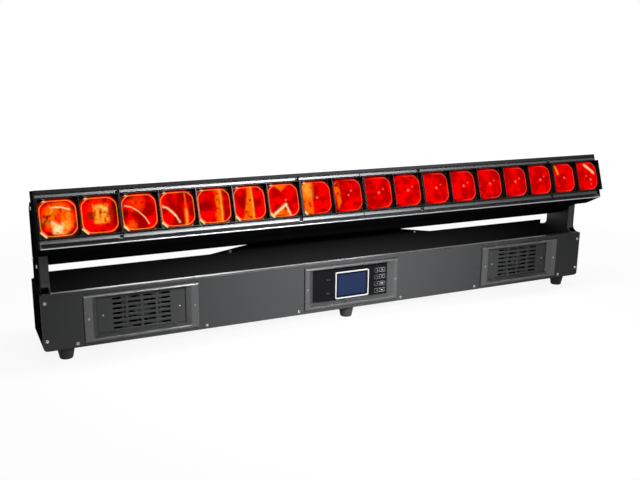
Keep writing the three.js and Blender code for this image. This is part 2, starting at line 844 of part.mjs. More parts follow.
// Fans: a square frame with a hub held by struts, and a rotor that turns in it
ventSpecs.forEach((spec) => {
  const at = [spec.centreX, plateMidZ];
  const half = fan.size / 2;
  const y = [frame.rearY + fit, frame.rearY + fit + fan.depth];
  const body = block([at[0] - half, at[0] + half], y, [at[1] - half, at[1] + half]);
  const bore = bar('y', y[0] - overrun, y[1] + overrun, at, fan.bore, medium);
  const strutY = [y[1] - fan.strut, y[1]];
  const struts = fan.strutDegrees.map((angle) => {
    const strut = block([0, fan.bore + fan.post], strutY, [-fan.strut / 2, fan.strut / 2]);
    return strut.rotate([0, angle, 0]).translate([at[0], 0, at[1]]);
  });
  const back = bar('y', ...strutY, at, fan.hub, medium);
  const spindleHole = bar('y', y[0] - overrun, y[1] + overrun, at, fan.post + runningFit, medium);
  const whole = cut(join([cut(body, [bore]), ...struts, back]), [spindleHole]);
  add(fixture, `fan_frame_${spec.name}`, whole, looks.plastic);

  const rotorY = [y[0] + fit * 2, strutY[0] - fit * 2];
  const hub = bar('y', ...rotorY, at, fan.hub, medium);
  const spindle = bar('y', rotorY[1] - fit, y[1] - fit, at, fan.post, medium);
  const blades = [];
  for (let i = 0; i < fan.blades; i += 1) {
    const depth = (rotorY[1] - rotorY[0]) / 2 - fan.bladeThickness;
    const thin = [-fan.bladeThickness / 2, fan.bladeThickness / 2];
    const flat = block([fan.hub - fan.post, fan.blade], [-depth, depth], thin);
    const pitched = flat.rotate([fan.bladePitchDegrees, 0, 0]).rotate([0, (i * 360) / fan.blades, 0]);
    blades.push(pitched.translate([at[0], (rotorY[0] + rotorY[1]) / 2, at[1]]));
  }
  add(fixture, `fan_rotor_${spec.name}`, join([hub, spindle, ...blades]), looks.plastic);
});

// Rubber feet: three mouldings across the base, each a front and a rear foot on one strip
['left', 'middle', 'right'].forEach((name, i) => {
  const x = (i - 1) * (halfLength - foot.fromEnd);
  const y = [foot.inset, base.depth - foot.inset];
  const pair = y.map((at) => {
    return bar('z', 0, foot.height - fit, [x, at], foot.bottomRadius, medium, foot.topRadius);
  });
  const bridge = block(
    [x - foot.stripHalf, x + foot.stripHalf],
    y,
    [foot.height - fit - foot.stripThickness, foot.height - fit],
  );
  add(fixture, `rubber_feet_${name}`, join([...pair, bridge]), looks.rubber);
});

// Power supply and led driver board on the tray floor
const trayFloor = floorZ + sheet + fit;
const psuRear = base.depth - psu.rearInset;
add(
  fixture,
  'power_supply',
  block([psu.lowX, psu.highX], [psuRear - psu.depth, psuRear], [trayFloor, trayFloor + psu.height]),
  looks.aluminium,
);

function makeDriverBoard() {
  const low = trayFloor + driver.post;
  const plateZ = [low, low + driver.thickness];
  const rear = base.depth - driver.rearInset;
  const front = rear - driver.depth;
  const plate = block([driver.lowX, driver.highX], [front, rear], plateZ);
  const posts = [driver.lowX + driver.post, driver.highX - driver.post].flatMap((x) => {
    return [front + driver.post, rear - driver.post].map((y) => {
      return bar('z', trayFloor, low + fit, [x, y], driver.post / 2, coarse);
    });
  });
  const parts = [];
  const middleY = (front + rear) / 2;
  for (let x = driver.lowX + driver.pitch; x < driver.highX - driver.pitch / 2; x += driver.pitch) {
    const partX = [x - driver.part / 2, x + driver.part / 2];
    const partY = [middleY - driver.part / 2, middleY + driver.part / 2];
    parts.push(block(partX, partY, [low + fit, low + driver.thickness + driver.part]));
  }
  return join([plate, ...posts, ...parts]);
}
add(fixture, 'led_driver_board', makeDriverBoard(), looks.board);

// Tilt drive, on the left: motor in the base, pulleys and belt inside the left arm
const driveSide = sides[0];
const pulleyNearX = armInnerX + arm.innerPlate + arm.bossThickness + fit * 2;
const pulleyX = span(driveSide.sign, pulleyNearX, pulleyNearX + drive.width);
const motorAt = [pivot.y, drive.motorZ];

function makeTiltMotor() {
  const half = drive.motorSize / 2;
  const x = span(driveSide.sign, armInnerX - fit - drive.motorLength, armInnerX - fit);
  const body = block(x, [pivot.y - half, pivot.y + half], [drive.motorZ - half, drive.motorZ + half]);
  const boreX = span(driveSide.sign, armInnerX - drive.motorLength / 2, armInnerX + overrun);
  const bore = bar('x', ...boreX, motorAt, drive.motorShaftRadius + runningFit, medium);
  return cut(body, [bore]);
}
add(fixture, 'tilt_motor', makeTiltMotor(), looks.plastic);

const motorShaftX = span(driveSide.sign, armInnerX - drive.motorLength / 2 + fit, pulleyNearX + fit);
const motorPulley = join([
  bar('x', ...pulleyX, motorAt, drive.motorRadius, medium),
  bar('x', ...motorShaftX, motorAt, drive.motorShaftRadius, medium),
]);
add(fixture, 'motor_pulley', motorPulley, looks.aluminium);

// A belt round two circles, one above the other
function beltOutline(upper, lower) {
  const distance = pivot.z - drive.motorZ;
  const lean = Math.asin((upper - lower) / distance);
  const shape = new THREE.Shape();
  shape.absarc(pivot.y, pivot.z, upper, -lean, Math.PI + lean, false);
  shape.absarc(pivot.y, drive.motorZ, lower, Math.PI + lean, Math.PI * 2 - lean, false);
  return shape;
}

function makeBelt() {
  const beltNearX = pulleyNearX + (drive.width - drive.beltWidth) / 2;
  const x = span(driveSide.sign, beltNearX, beltNearX + drive.beltWidth);
  const inside = [drive.headRadius + fit, drive.motorRadius + fit];
  const outer = alongX(beltOutline(inside[0] + drive.beltThickness, inside[1] + drive.beltThickness), ...x);
  const inner = alongX(beltOutline(inside[0], inside[1]), x[0] - overrun, x[1] + overrun);
  return cut(outer, [inner]);
}
add(fixture, 'tilt_belt', makeBelt(), looks.rubber);

// Bearings in both arms
sides.forEach(({ name, sign }) => {
  const x = span(sign, armInnerX + fit, armInnerX + fit + bearing.width);
  const at = [pivot.y, pivot.z];
  const ring = bar('x', ...x, at, bearing.outerRadius, fine);
  const bore = bar('x', x[0] - overrun, x[1] + overrun, at, shaft.radius + runningFit, fine);
  add(fixture, `pivot_bearing_${name}`, cut(ring, [bore]), looks.steel);
});

// Rear sockets: the two of a kind share one plate, the way in and the way through
function makeSockets(places, radius) {
  const z = floorZ + socket.z;
  const platePlaceY = [base.depth + fit, base.depth + fit + socket.flangeThickness];
  const plateX = [Math.min(...places) - socket.flange, Math.max(...places) + socket.flange];
  const plate = block(plateX, platePlaceY, [z - socket.flange, z + socket.flange]);
  const barrels = places.map((x) => {
    return bar('y', base.depth - socket.depth, platePlaceY[1], [x, z], radius, medium);
  });
  const mouths = places.map((x) => {
    const mouthY = [platePlaceY[1] - socket.recess, platePlaceY[1] + overrun];
    return bar('y', ...mouthY, [x, z], radius - socket.lip, medium);
  });
  return cut(join([plate, ...barrels]), mouths);
}
add(fixture, 'power_sockets', makeSockets(socket.powerX, socket.powerRadius), looks.plastic);
add(fixture, 'data_sockets', makeSockets(socket.dataX, socket.dataRadius), looks.plastic);

// The head from here on. Its section is a row of corners from the front edge over to the back.
const section = {
  seamY: 60,
  seamZ: 44,
  shoulderY: 45,
  shoulderZ: 46,
  waistY: 22,
  waistZ: 47.1,
  bellyY: 2,
  bellyZ: 53.2,
  crownY: 30,
  crownZ: 54,
  rumpY: 46,
  rumpZ: 42,
  tailZ: 36,
};
const backLine = [
  [section.crownY, section.crownZ],
  [section.rumpY, section.rumpZ],
  [head.rearY, section.tailZ],
];
const topSkin = [[-section.shoulderY, section.shoulderZ], ...backLine];
const lowerSkin = [
  [-section.seamY, -section.seamZ],
  [-section.shoulderY, -section.shoulderZ],
  [-section.waistY, -section.waistZ],
  [section.bellyY, -section.bellyZ],
  ...backLine.map(([y, z]) => [y, -z]),
];
const lip = { overhang: 1, drop: 5.2, hem: 1.2, chamfer: 0.4 };
const topFrontY = -head.faceY - lip.overhang;
const topLine = [[topFrontY, head.halfHeight - lip.drop], [topFrontY, head.halfHeight], ...topSkin];
const lowerLine = [[-head.faceY, -head.halfHeight], ...lowerSkin];

// Only what lies ahead of the arms runs the full length
function fullLengthPart(solid) {
  const x = [-headHalf, headHalf];
  const tall = head.halfHeight * 2;
  return solid.intersect(block(x, [-head.faceY * 2, -head.stepY], [-tall, tall]));
}

function makeSkin(line, turned) {
  const shape = strip(turned ? [...line].reverse() : line, head.skin);
  const long = fullLengthPart(alongX(shape, -headInnerX + fit, headInnerX - fit));
  return join([long, alongX(shape, -bodyInnerX + fit, bodyInnerX - fit)]);
}
add(headGroup, 'head_top_cover', makeSkin(topLine, true), looks.black);

function makeLowerCover() {
  const skin = makeSkin(lowerLine, false);
  const y = -head.faceY;
  const z = -head.halfHeight;
  const hem = outline([
    [y, z + head.skin - fit],
    [y - lip.overhang, z + head.skin - fit],
    [y - lip.overhang - lip.chamfer, z],
    [y - lip.overhang, z - lip.hem],
    [y + lip.hem * 2, z - lip.hem],
    [y + lip.hem * 2, z],
  ]);
  return join([skin, alongX(hem, -headInnerX + fit, headInnerX - fit)]);
}
add(headGroup, 'head_bottom_cover', makeLowerCover(), looks.aluminium);

// End caps: a step in each clears the arm behind the lens bar
const capLine = outline([
  [-head.faceY, -head.halfHeight],
  ...lowerSkin,
  ...[...topSkin].reverse(),
  [-head.faceY, head.halfHeight],
]);
sides.forEach(({ name, sign }) => {
  const full = alongX(capLine, ...span(sign, bodyInnerX, headHalf));
  const tall = head.halfHeight * 2;
  const ahead = [-head.faceY * 2, -head.stepY - head.cap];
  const behind = [-head.stepY, head.rearY + overrun];
  const lampSide = block(span(sign, bodyInnerX - overrun, headInnerX), ahead, [-tall, tall]);
  const armSide = block(span(sign, bodyHalf, headHalf + overrun), behind, [-tall, tall]);
  const skinX = span(sign, bodyInnerX - overrun, headInnerX);
  const skins = [strip([...topLine].reverse(), head.skin + fit), strip(lowerLine, head.skin + fit)];
  const clearRegion = block(skinX, [-head.faceY * 2, -head.stepY + fit], [-tall, tall]);
  const clearing = skins.map((shape) => alongX(shape, ...skinX).intersect(clearRegion));
  const shaftX = span(sign, bodyInnerX - overrun, bodyHalf + overrun);
  const shaftHole = bar('x', ...shaftX, [0, 0], shaft.radius + fit, fine);
  const cap = cut(full, [lampSide, armSide, ...clearing, shaftHole]);
  add(headGroup, `head_end_cap_${name}`, cap, looks.plastic);
});

// Trunnions, bolted inside the end caps, with the head pulley on the left one
sides.forEach(({ name, sign }) => {
  const flangeX = span(sign, bodyInnerX - fit - shaft.flangeThickness, bodyInnerX - fit);
  const reach = sign === driveSide.sign ? pulleyNearX + drive.width : armInnerX + bearing.width + fit * 2;
  const pinX = span(sign, bodyInnerX - fit - shaft.flangeThickness, reach);
  const pin = bar('x', ...pinX, [0, 0], shaft.radius, fine);
  const flange = bar('x', ...flangeX, [0, 0], shaft.flangeRadius, medium);
  add(headGroup, `trunnion_${name}`, join([flange, pin]), looks.steel);
});
const headPulley = cut(
  bar('x', ...pulleyX, [0, 0], drive.headRadius, fine),
  [bar('x', pulleyX[0] - overrun, pulleyX[1] + overrun, [0, 0], shaft.radius + fit, fine)],
);
add(headGroup, 'head_pulley', headPulley, looks.aluminium);

// Heat sink and led board
const boardRear = board.behind + board.thickness;
const sinkFront = boardRear + fit;
const coreX = bodyInnerX - shaft.flangeThickness - fit * 2;
function makeSink() {
  const z = [-sink.halfHeight, sink.halfHeight];
  const plate = block([-coreX, coreX], [sinkFront, sinkFront + sink.plate], z);
  const finY = [sinkFront + sink.plate - fit, sinkFront + sink.plate + sink.finHeight];
  const fins = [];
  const count = Math.floor(coreX / sink.finPitch);
  for (let i = -count; i <= count; i += 1) {
    const x = i * sink.finPitch;
    const finX = [x - sink.finThickness / 2, x + sink.finThickness / 2];
    if (Math.abs(x) + sink.finThickness < coreX) fins.push(block(finX, finY, z));
  }
  return join([plate, ...fins]);
}
add(headGroup, 'heat_sink', makeSink(), looks.aluminium);

const halfCount = Math.floor((headInnerX + lens.spare) / lens.pitch);
const lensCount = halfCount * 2;
const halfSets = [lens.endSet];
for (let left = halfCount - lens.endSet; left > 0; left -= lens.fullSet) {
  halfSets.push(Math.min(left, lens.fullSet));
}
const lensSets = [...halfSets, ...[...halfSets].reverse()];
const lensX = [];
for (let i = 0; i < lensCount; i += 1) lensX.push((i - (lensCount - 1) / 2) * lens.pitch);

// Where one moulded set of lenses ends and the next starts
const setEdges = [];
lensSets.reduce((count, size) => {
  setEdges.push((count - lensCount / 2) * lens.pitch);
  return count + size;
}, 0);
const ofSide = (sign) => setEdges.slice(1).filter((x) => x * sign > fit);

function makeLedBoard() {
  const half = board.emitterSize / 2;
  const y = [board.behind, boardRear];
  const plate = block([-coreX, coreX], y, [-board.halfHeight, board.halfHeight]);
  const emitters = lensX.map((x) => {
    const centre = THREE.MathUtils.clamp(x, -coreX + half, coreX - half);
    return block([centre - half, centre + half], [y[0] - board.emitterHeight, y[0] + fit], [-half, half]);
  });
  return join([plate, ...emitters]);
}
add(headGroup, 'led_board', makeLedBoard(), looks.white);

// Zoom drives: a rail on the led board below the light paths, with the motor in its middle

function makeZoomDrive(sign) {
  const places = ofSide(sign);
  const ends = [Math.min(...places) - zoomDrive.overhang, Math.max(...places) + zoomDrive.overhang];
  const y = [-zoomDrive.frontY, board.behind - fit];
  const z = [-carrier.rodZ - zoomDrive.halfHeight, -carrier.rodZ + zoomDrive.halfHeight];
  const rail = block(ends, y, z);
  const middle = (ends[0] + ends[1]) / 2;
  const motorX = [middle - zoomDrive.motorHalf, middle + zoomDrive.motorHalf];
  const motor = block(motorX, y, [z[0] - zoomDrive.motorDrop, z[1]]);
  const boreY = [y[0] - overrun, y[1] + overrun];
  const boreRadius = carrier.rodRadius + runningFit;
  const bores = places.map((x) => bar('y', ...boreY, [x, -carrier.rodZ], boreRadius, medium));
  return cut(join([rail, motor]), bores);
}
sides.forEach(({ name, sign }) => add(headGroup, `zoom_drive_${name}`, makeZoomDrive(sign), looks.plastic));

// Bezel bars above and below the lenses, split at the middle, with notches for screws
const topBar = [
  [-bezel.rearY, bezel.innerZ],
  [-bezel.rearY, bezel.topOuterRearZ],
  [-bezel.topBackY, bezel.topOuterZ],
  [-bezel.topBackY, bezel.topStepZ],
  [-bezel.noseY, bezel.topNoseZ],
  [-bezel.noseY, bezel.innerZ + bezel.chamfer],
  [-bezel.frontY, bezel.innerZ],
];
const lowBar = [
  [-bezel.rearY, -bezel.innerZ],
  [-bezel.lowBackY, -bezel.innerZ],
  [-bezel.lowBackY, -bezel.lowStepZ],
  [-bezel.noseY, -bezel.lowOuterZ],
  [-bezel.rearY, -bezel.lowOuterRearZ],
];
const notchScrewZ = bezel.innerZ + bezel.notchHeight / 2;
const notchFloorY = bezel.frontY - bezel.notchDepth;

function makeBezel(shape, sign, up) {
  const solid = alongX(outline(shape), ...span(sign, bezel.seam, headInnerX - fit));
  const z = [up * (bezel.innerZ - overrun), up * (bezel.innerZ + bezel.notchHeight)].sort((a, b) => a - b);
  const tools = ofSide(sign).flatMap((x) => {
    const notch = block(
      [x - bezel.notchWidth / 2, x + bezel.notchWidth / 2],
      [-head.faceY - overrun, -notchFloorY],
      z,
    );
    const holeY = [-notchFloorY - overrun, -notchFloorY + capScrew.length + fit];
    return [notch, bar('y', ...holeY, [x, up * notchScrewZ], capScrew.holeRadius, tiny)];
  });
  return cut(solid, tools);
}
sides.forEach(({ name, sign }) => {
  add(headGroup, `bezel_top_${name}`, makeBezel(topBar, sign, 1), looks.bezel);
  add(headGroup, `bezel_bottom_${name}`, makeBezel(lowBar, sign, -1), looks.bezel);
});

// Lens carriers: an open black grid with a cell for each lens, a plate with their holes behind it,
// a round boss in each corner of a cell, and two rods that slide in the drives
function finHalf(at) {
  const betweenSets = setEdges.some((edge) => Math.abs(edge - at) < fit);
  return (betweenSets ? carrier.setFinThickness : carrier.finThickness) / 2;
}

function makeCarrier(sign) {
  const places = lensX.filter((x) => x * sign > 0);
  const x = span(sign, carrier.middleGap, headInnerX - fit);
  const plateRear = -carrier.plateY;
  const plateFront = plateRear - carrier.plateThickness;
  const body = block(x, [-carrier.frontY, plateRear], [-carrier.halfHeight, carrier.halfHeight]);
  const innerZ = carrier.halfHeight - carrier.wall;
  const hollows = places.map((centre) => {
    const edges = [centre - lens.pitch / 2, centre + lens.pitch / 2];
    const low = Math.max(edges[0] + finHalf(edges[0]), x[0] + carrier.wall);
    const high = Math.min(edges[1] - finHalf(edges[1]), x[1] - carrier.wall);
    return block([low, high], [-carrier.frontY - overrun, plateFront], [-innerZ, innerZ]);
  });
  const corners = [places[0] - lens.pitch / 2, ...places.map((centre) => centre + lens.pitch / 2)];
  const bosses = corners.flatMap((at) => [-1, 1].map((up) => {
    const bossY = [-carrier.bossFrontY, plateFront + fit];
    return bar('y', ...bossY, [at, up * carrier.bossZ], carrier.bossRadius, coarse).intersect(body);
  }));
  const bores = places.map((centre) => {
    return cutSquare(centre, plateFront - fit, plateRear + overrun, lens.halfSize + fit, lens.corner);
  });
  const rods = ofSide(sign).map((place) => {
    return bar('y', plateRear - fit, -carrier.rodTailY, [place, -carrier.rodZ], carrier.rodRadius, medium);
  });
  return join([cut(join([cut(body, hollows), ...bosses]), bores), ...rods]);
}
sides.forEach(({ name, sign }) => add(headGroup, `lens_carrier_${name}`, makeCarrier(sign), looks.black));

// One lens: square with cut corners, with a domed front well behind the grid's front edges
function makeLens(centre) {
  const ring = (y, inset) => {
    const half = lens.halfSize - inset;
    return cutSquareRing(centre, -y, half, lens.corner * (half / lens.halfSize));
  };
  return loft([
    ring(lens.frontY, lens.tipInset),
    ring(lens.domeY, lens.domeInset),
    ring(lens.edgeY, lens.edgeInset),
    ring(lens.rimY, 0),
    ring(lens.backY, 0),
  ]);
}

// A set is moulded in one with a web behind the carrier's plate
function makeLensSet(places) {
  const ends = [places[0], places[places.length - 1]];
  const y = [-lens.backY - lens.webThickness, -lens.backY];
  const web = block(ends, y, [-lens.webHalfHeight, lens.webHalfHeight]);
  return join([...places.map(makeLens), web]);
}
let firstLens = 0;
lensSets.forEach((count, i) => {
  add(headGroup, `lens_set_${i + 1}`, makeLensSet(lensX.slice(firstLens, firstLens + count)), looks.red);
  firstLens += count;
});

// Centre the object over its origin
const whole = new THREE.Box3().setFromObject(fixture, true);
fixture.position.y = -(whole.min.y + whole.max.y) / 2;
const group = new THREE.Group();
group.add(fixture);

export default group;
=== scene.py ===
# %% [markdown]
# # A tilting stage batten, dressed for its portrait
#
# The real object is a metre-long stage light. A sheet-metal base on rubber feet carries two arms,
# and a long head with eighteen red lenses turns between them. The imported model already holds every
# part at its real size, so this lesson only adds what the construction leaves out: finishes, fine
# lenses, screws, printed marks, and the light to see them by. Lengths are in metres, +Z is up, and
# +X runs along the bar.

# %% Load the frame
import json

import bmesh
import bpy
import numpy as np
from mathutils import Matrix, Vector


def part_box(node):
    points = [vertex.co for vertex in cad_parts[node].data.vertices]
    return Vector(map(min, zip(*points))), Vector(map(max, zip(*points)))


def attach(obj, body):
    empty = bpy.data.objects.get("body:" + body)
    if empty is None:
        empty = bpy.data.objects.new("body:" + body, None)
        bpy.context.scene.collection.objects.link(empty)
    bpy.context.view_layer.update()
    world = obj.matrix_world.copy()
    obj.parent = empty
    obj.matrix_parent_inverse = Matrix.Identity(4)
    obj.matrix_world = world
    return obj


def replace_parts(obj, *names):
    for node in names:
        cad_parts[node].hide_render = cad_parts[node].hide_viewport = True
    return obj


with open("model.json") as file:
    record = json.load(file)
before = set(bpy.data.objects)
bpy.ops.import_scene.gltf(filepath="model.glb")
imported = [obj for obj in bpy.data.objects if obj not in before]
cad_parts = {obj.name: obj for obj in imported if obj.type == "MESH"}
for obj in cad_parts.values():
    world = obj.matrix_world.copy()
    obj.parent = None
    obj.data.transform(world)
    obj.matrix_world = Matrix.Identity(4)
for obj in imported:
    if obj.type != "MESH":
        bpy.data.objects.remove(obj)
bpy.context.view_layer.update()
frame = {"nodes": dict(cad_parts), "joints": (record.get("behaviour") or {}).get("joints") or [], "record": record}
scene = bpy.context.scene
mm = 0.001

# %% [markdown]
# ## Camera
# A camera can be aimed by hand, or its place can be worked out once from the picture and written
# down. The second way gives the same view each time, so the place, the turns and the focal length
# are plain values here, in the picture's own 640 by 480 frame. Blender's camera looks down at
# first. Read from right to left, the turns roll it, raise it to the horizon less the pitch, and
# swing it from +Y towards +X by the yaw.

# %% Camera at the picture's viewing angle
picture_width = 640
focal_pixels = 807.64
sensor_width = 36.0
camera_place = Vector((-0.6203, -1.1804, 0.4601))
camera_yaw = 0.4527
camera_pitch = 0.2421
camera_roll = 0.0116


def add_object(name, data):
    """Wraps a camera, a mesh or a lamp in an object and puts it in the scene."""
    added = bpy.data.objects.new(name, data)
    scene.collection.objects.link(added)
    return added


camera_data = bpy.data.cameras.new("portrait_camera")
camera_data.sensor_width = sensor_width
camera_data.lens = focal_pixels / picture_width * sensor_width
camera_data.clip_start = 0.05
camera = add_object("portrait_camera", camera_data)
aim = Matrix.Rotation(-camera_yaw, 4, "Z") @ Matrix.Rotation(np.pi / 2 - camera_pitch, 4, "X")
camera.matrix_world = Matrix.Translation(camera_place) @ aim @ Matrix.Rotation(camera_roll, 4, "Z")
scene.camera = camera
scene.view_settings.view_transform = "Standard"
print("lens in millimetres:", round(camera_data.lens, 2))

# %% [markdown]
# ## Small helpers for nodes
# A material is a graph of nodes. Wiring it by hand takes a line for each node and each link, so a
# few helpers keep the later cells short. Most of them add one kind of node and give back its
# output, so that nodes can be nested like sums.

# %% Wiring helpers
def wire(tree, source, socket):
    """Puts a plain value on a socket, or links another node's output to it."""
    if isinstance(source, bpy.types.NodeSocket):
        tree.links.new(source, socket)
    else:
        socket.default_value = source


def wire_all(tree, node, sources):
    """Wires several inputs of a node, each given by its name or number."""
    for socket, source in sources.items():
        wire(tree, source, node.inputs[socket])


def add_node(tree, kind, sources=None, **options):
    """Adds a node, sets its options, and wires its inputs."""
    node = tree.nodes.new("ShaderNode" + kind)
    for option, value in options.items():
        setattr(node, option, value)
    wire_all(tree, node, sources or {})
    return node


# %% Helpers for one kind of node each
def math_node(tree, operation, first, second=0.0, clamp=False):
    """One sum, such as first plus second. With clamp, the result stays between 0 and 1."""
    node = add_node(tree, "Math", {0: first, 1: second}, operation=operation, use_clamp=clamp)
    return node.outputs[0]


def swing_node(tree, noise, amount):
    """Noise is centred on a half, so a half is taken off before it is scaled by the amount."""
    return math_node(tree, "MULTIPLY", math_node(tree, "SUBTRACT", noise, 0.5), amount)


def ramp_node(tree, value, low, high, out_low=0.0, out_high=1.0):
    """Carries a value smoothly from one range to another."""
    ends = {"From Min": low, "From Max": high, "To Min": out_low, "To Max": out_high}
    node = add_node(tree, "MapRange", {"Value": value, **ends}, interpolation_type="SMOOTHSTEP")
    return node.outputs["Result"]


def mix_node(tree, factor, first, second):
    """The first colour where the factor is 0, and the second where it is 1."""
    node = add_node(tree, "Mix", {"Factor": factor, "A": first, "B": second}, data_type="RGBA")
    return node.outputs["Result"]


def noise_node(tree, place, scale, detail):
    """Cloudy noise from 0 to 1. More detail adds finer layers."""
    sources = {"Vector": place, "Scale": scale, "Detail": detail}
    return add_node(tree, "TexNoise", sources).outputs["Fac"]


def object_place(tree):
    """Where a point lies in its object, which is where it lies on the whole light at rest."""
    return add_node(tree, "TexCoord").outputs["Object"]


# %% Helpers for groups
socket_types = {1: "NodeSocketFloat", 3: "NodeSocketVector", 4: "NodeSocketColor"}


def new_group(name, inputs, outputs):
    """A shader node group. An input's default says its kind by its length: a number, a vector of
    three or a colour of four. An output has that length instead of a default. The given values
    come back as sockets, and the result as a node to be wired."""
    group = bpy.data.node_groups.new(name, "ShaderNodeTree")
    add_socket = group.interface.new_socket
    for label, default in inputs.items():
        kind = socket_types[np.size(default)]
        add_socket(label, in_out="INPUT", socket_type=kind).default_value = default
    for label, length in outputs.items():
        add_socket(label, in_out="OUTPUT", socket_type=socket_types[length])
    return group, group.nodes.new("NodeGroupInput").outputs, group.nodes.new("NodeGroupOutput")


def place_group(tree, group, sources):
    """Puts a group into a material with its own values, and gives back its outputs."""
    return add_node(tree, "Group", sources, node_tree=group).outputs


# %% [markdown]
# ## Shared effects
# Powder coat, moulded plastic and rubber differ in colour and gloss, but all have a fine grain, a
# broad cloudiness and worn edges. An image could carry these, but a procedural group scales with
# the object and needs no unwrapping. Each effect is one node group, placed in every material with
# its own values.

# %% Grain group
cloud_scale = 14.0


def make_grain_group():
    """Fine noise gives the speckle and the bump, broad noise gives clouds in colour and gloss."""
    group, given, result = new_group(
        "surface_grain",
        {"Colour": (0.1, 0.1, 0.1, 1), "Roughness": 0.5, "Scale": 1500.0, "Speckle": 0.2, "Cloud": 0.1},
        {"Colour": 4, "Roughness": 1, "Height": 1},
    )
    place = object_place(group)
    fine = noise_node(group, place, given["Scale"], 3.0)
    broad = noise_node(group, place, cloud_scale, 3.0)
    fine_swing = swing_node(group, fine, given["Speckle"])
    broad_swing = swing_node(group, broad, given["Cloud"])
    level = math_node(group, "ADD", math_node(group, "ADD", fine_swing, broad_swing), 1.0)
    scaled = add_node(group, "VectorMath", {0: given["Colour"], "Scale": level}, operation="SCALE")
    gloss = math_node(group, "ADD", given["Roughness"], broad_swing, clamp=True)
    wire_all(group, result, {"Colour": scaled.outputs[0], "Roughness": gloss, "Height": fine})
    return group


grain_group = make_grain_group()
print("group:", grain_group.name)

# %% Edge group
edge_agreement = (0.99, 0.8)
patch_scale = 160.0
patch_range = (0.42, 0.68)


def make_edge_group():
    """The Bevel node rounds the shading normal near an edge. Where that normal differs from the
    true one lies the edge, and broken noise there is wear."""
    group, given, result = new_group(
        "soft_edges",
        {"Radius": 0.6 * mm, "Wear": 0.3},
        {"Normal": 3, "Wear": 1},
    )
    rounded = add_node(group, "Bevel", {"Radius": given["Radius"]}, samples=6).outputs["Normal"]
    true = add_node(group, "NewGeometry").outputs["Normal"]
    agreement = add_node(group, "VectorMath", {0: rounded, 1: true}, operation="DOT_PRODUCT")
    edge = ramp_node(group, agreement.outputs["Value"], *edge_agreement)
    patches = ramp_node(group, noise_node(group, object_place(group), patch_scale, 4.0), *patch_range)
    wear = math_node(group, "MULTIPLY", math_node(group, "MULTIPLY", edge, patches), given["Wear"])
    wire_all(group, result, {"Normal": rounded, "Wear": wear})
    return group


edge_group = make_edge_group()
print("group:", edge_group.name)

# %% Brushed group
brush_stretch = (30, 900, 900)


def make_brushed_group():
    """Noise stretched along one axis, as a belt grinder leaves it, moves the roughness."""
    group, given, result = new_group(
        "brushed_metal",
        {"Roughness": 0.35, "Spread": 0.15, "Stretch": brush_stretch},
        {"Roughness": 1, "Height": 1},
    )
    mapping = add_node(group, "Mapping", {"Vector": object_place(group), "Scale": given["Stretch"]})
    lines = noise_node(group, mapping.outputs["Vector"], 1.0, 2.0)
    swing = swing_node(group, lines, given["Spread"])
    gloss = math_node(group, "ADD", given["Roughness"], swing, clamp=True)
    wire_all(group, result, {"Roughness": gloss, "Height": lines})
    return group


brushed_group = make_brushed_group()
print("group:", brushed_group.name)

# %% [markdown]
# ## Finishes
# Each finish starts from the colour that the record states for its slot. Numbers that are the same
# all over a surface, such as the specular level, sit on the shader's own socket. What changes over
# the surface comes from the groups. One function makes all paints, plastics and rubbers, and one
# makes all metals, so that a finish is a single line that says how it differs.

# %% Start of a finish
slot_colours = {entry["slot"]: entry["base_color"] for entry in frame["record"]["materials"]}
finishes = {}


def slot_colour(slot, gain):
    """The record's colour for a slot, times a gain."""
    return (*(part * gain for part in slot_colours[slot]), 1)


def start_material(slot, specular, metallic=0.0):
    """A material with its specular level and its metalness on the shader itself."""
    material = bpy.data.materials.new(slot)
    material.use_nodes = True
    shader = material.node_tree.nodes["Principled BSDF"]
    wire_all(material.node_tree, shader, {"Specular IOR Level": specular, "Metallic": metallic})
    finishes[slot] = material
    return material.node_tree, shader


def add_bump(tree, height, normal, strength, depth):
    """Tips the shading normal by the slope of a height."""
    sources = {"Strength": strength, "Distance": depth, "Height": height, "Normal": normal}
    return add_node(tree, "Bump", sources).outputs["Normal"]


print("slots:", len(slot_colours))

# %% One function for coats and one for metals
worn_colour = (0.25, 0.25, 0.25, 1)
grain_depth = 0.1 * mm
brush_depth = 0.05 * mm


def coated(slot, roughness, specular=0.4, scale=1500.0, speckle=0.25, cloud=0.12,
           radius=0.7 * mm, wear=0.25, bump=0.25, gain=1.0):
    """Paint, plastic or rubber: grain and clouds on the slot's colour, and paler worn edges."""
    tree, shader = start_material(slot, specular)
    grain = place_group(tree, grain_group, {
        "Colour": slot_colour(slot, gain), "Roughness": roughness, "Scale": scale, "Speckle": speckle,
        "Cloud": cloud})
    edges = place_group(tree, edge_group, {"Radius": radius, "Wear": wear})
    wire_all(tree, shader, {
        "Base Color": mix_node(tree, edges["Wear"], grain["Colour"], worn_colour),
        "Roughness": grain["Roughness"],
        "Normal": add_bump(tree, grain["Height"], edges["Normal"], bump, grain_depth)})


def metal(slot, roughness, stretch=brush_stretch, gain=1.0):
    """Bare or anodised metal: brushed lines in the gloss, and rounded edges."""
    tree, shader = start_material(slot, 0.5, 1.0)
    brushed = place_group(tree, brushed_group, {
        "Roughness": roughness, "Spread": 0.15, "Stretch": stretch})
    grain = place_group(tree, grain_group, {
        "Colour": slot_colour(slot, gain), "Roughness": roughness, "Speckle": 0.1, "Cloud": 0.1})
    edges = place_group(tree, edge_group, {"Radius": 0.5 * mm, "Wear": 0.0})
    wire_all(tree, shader, {
        "Base Color": grain["Colour"],
        "Roughness": brushed["Roughness"],
        "Normal": add_bump(tree, brushed["Height"], edges["Normal"], 0.15, brush_depth)})


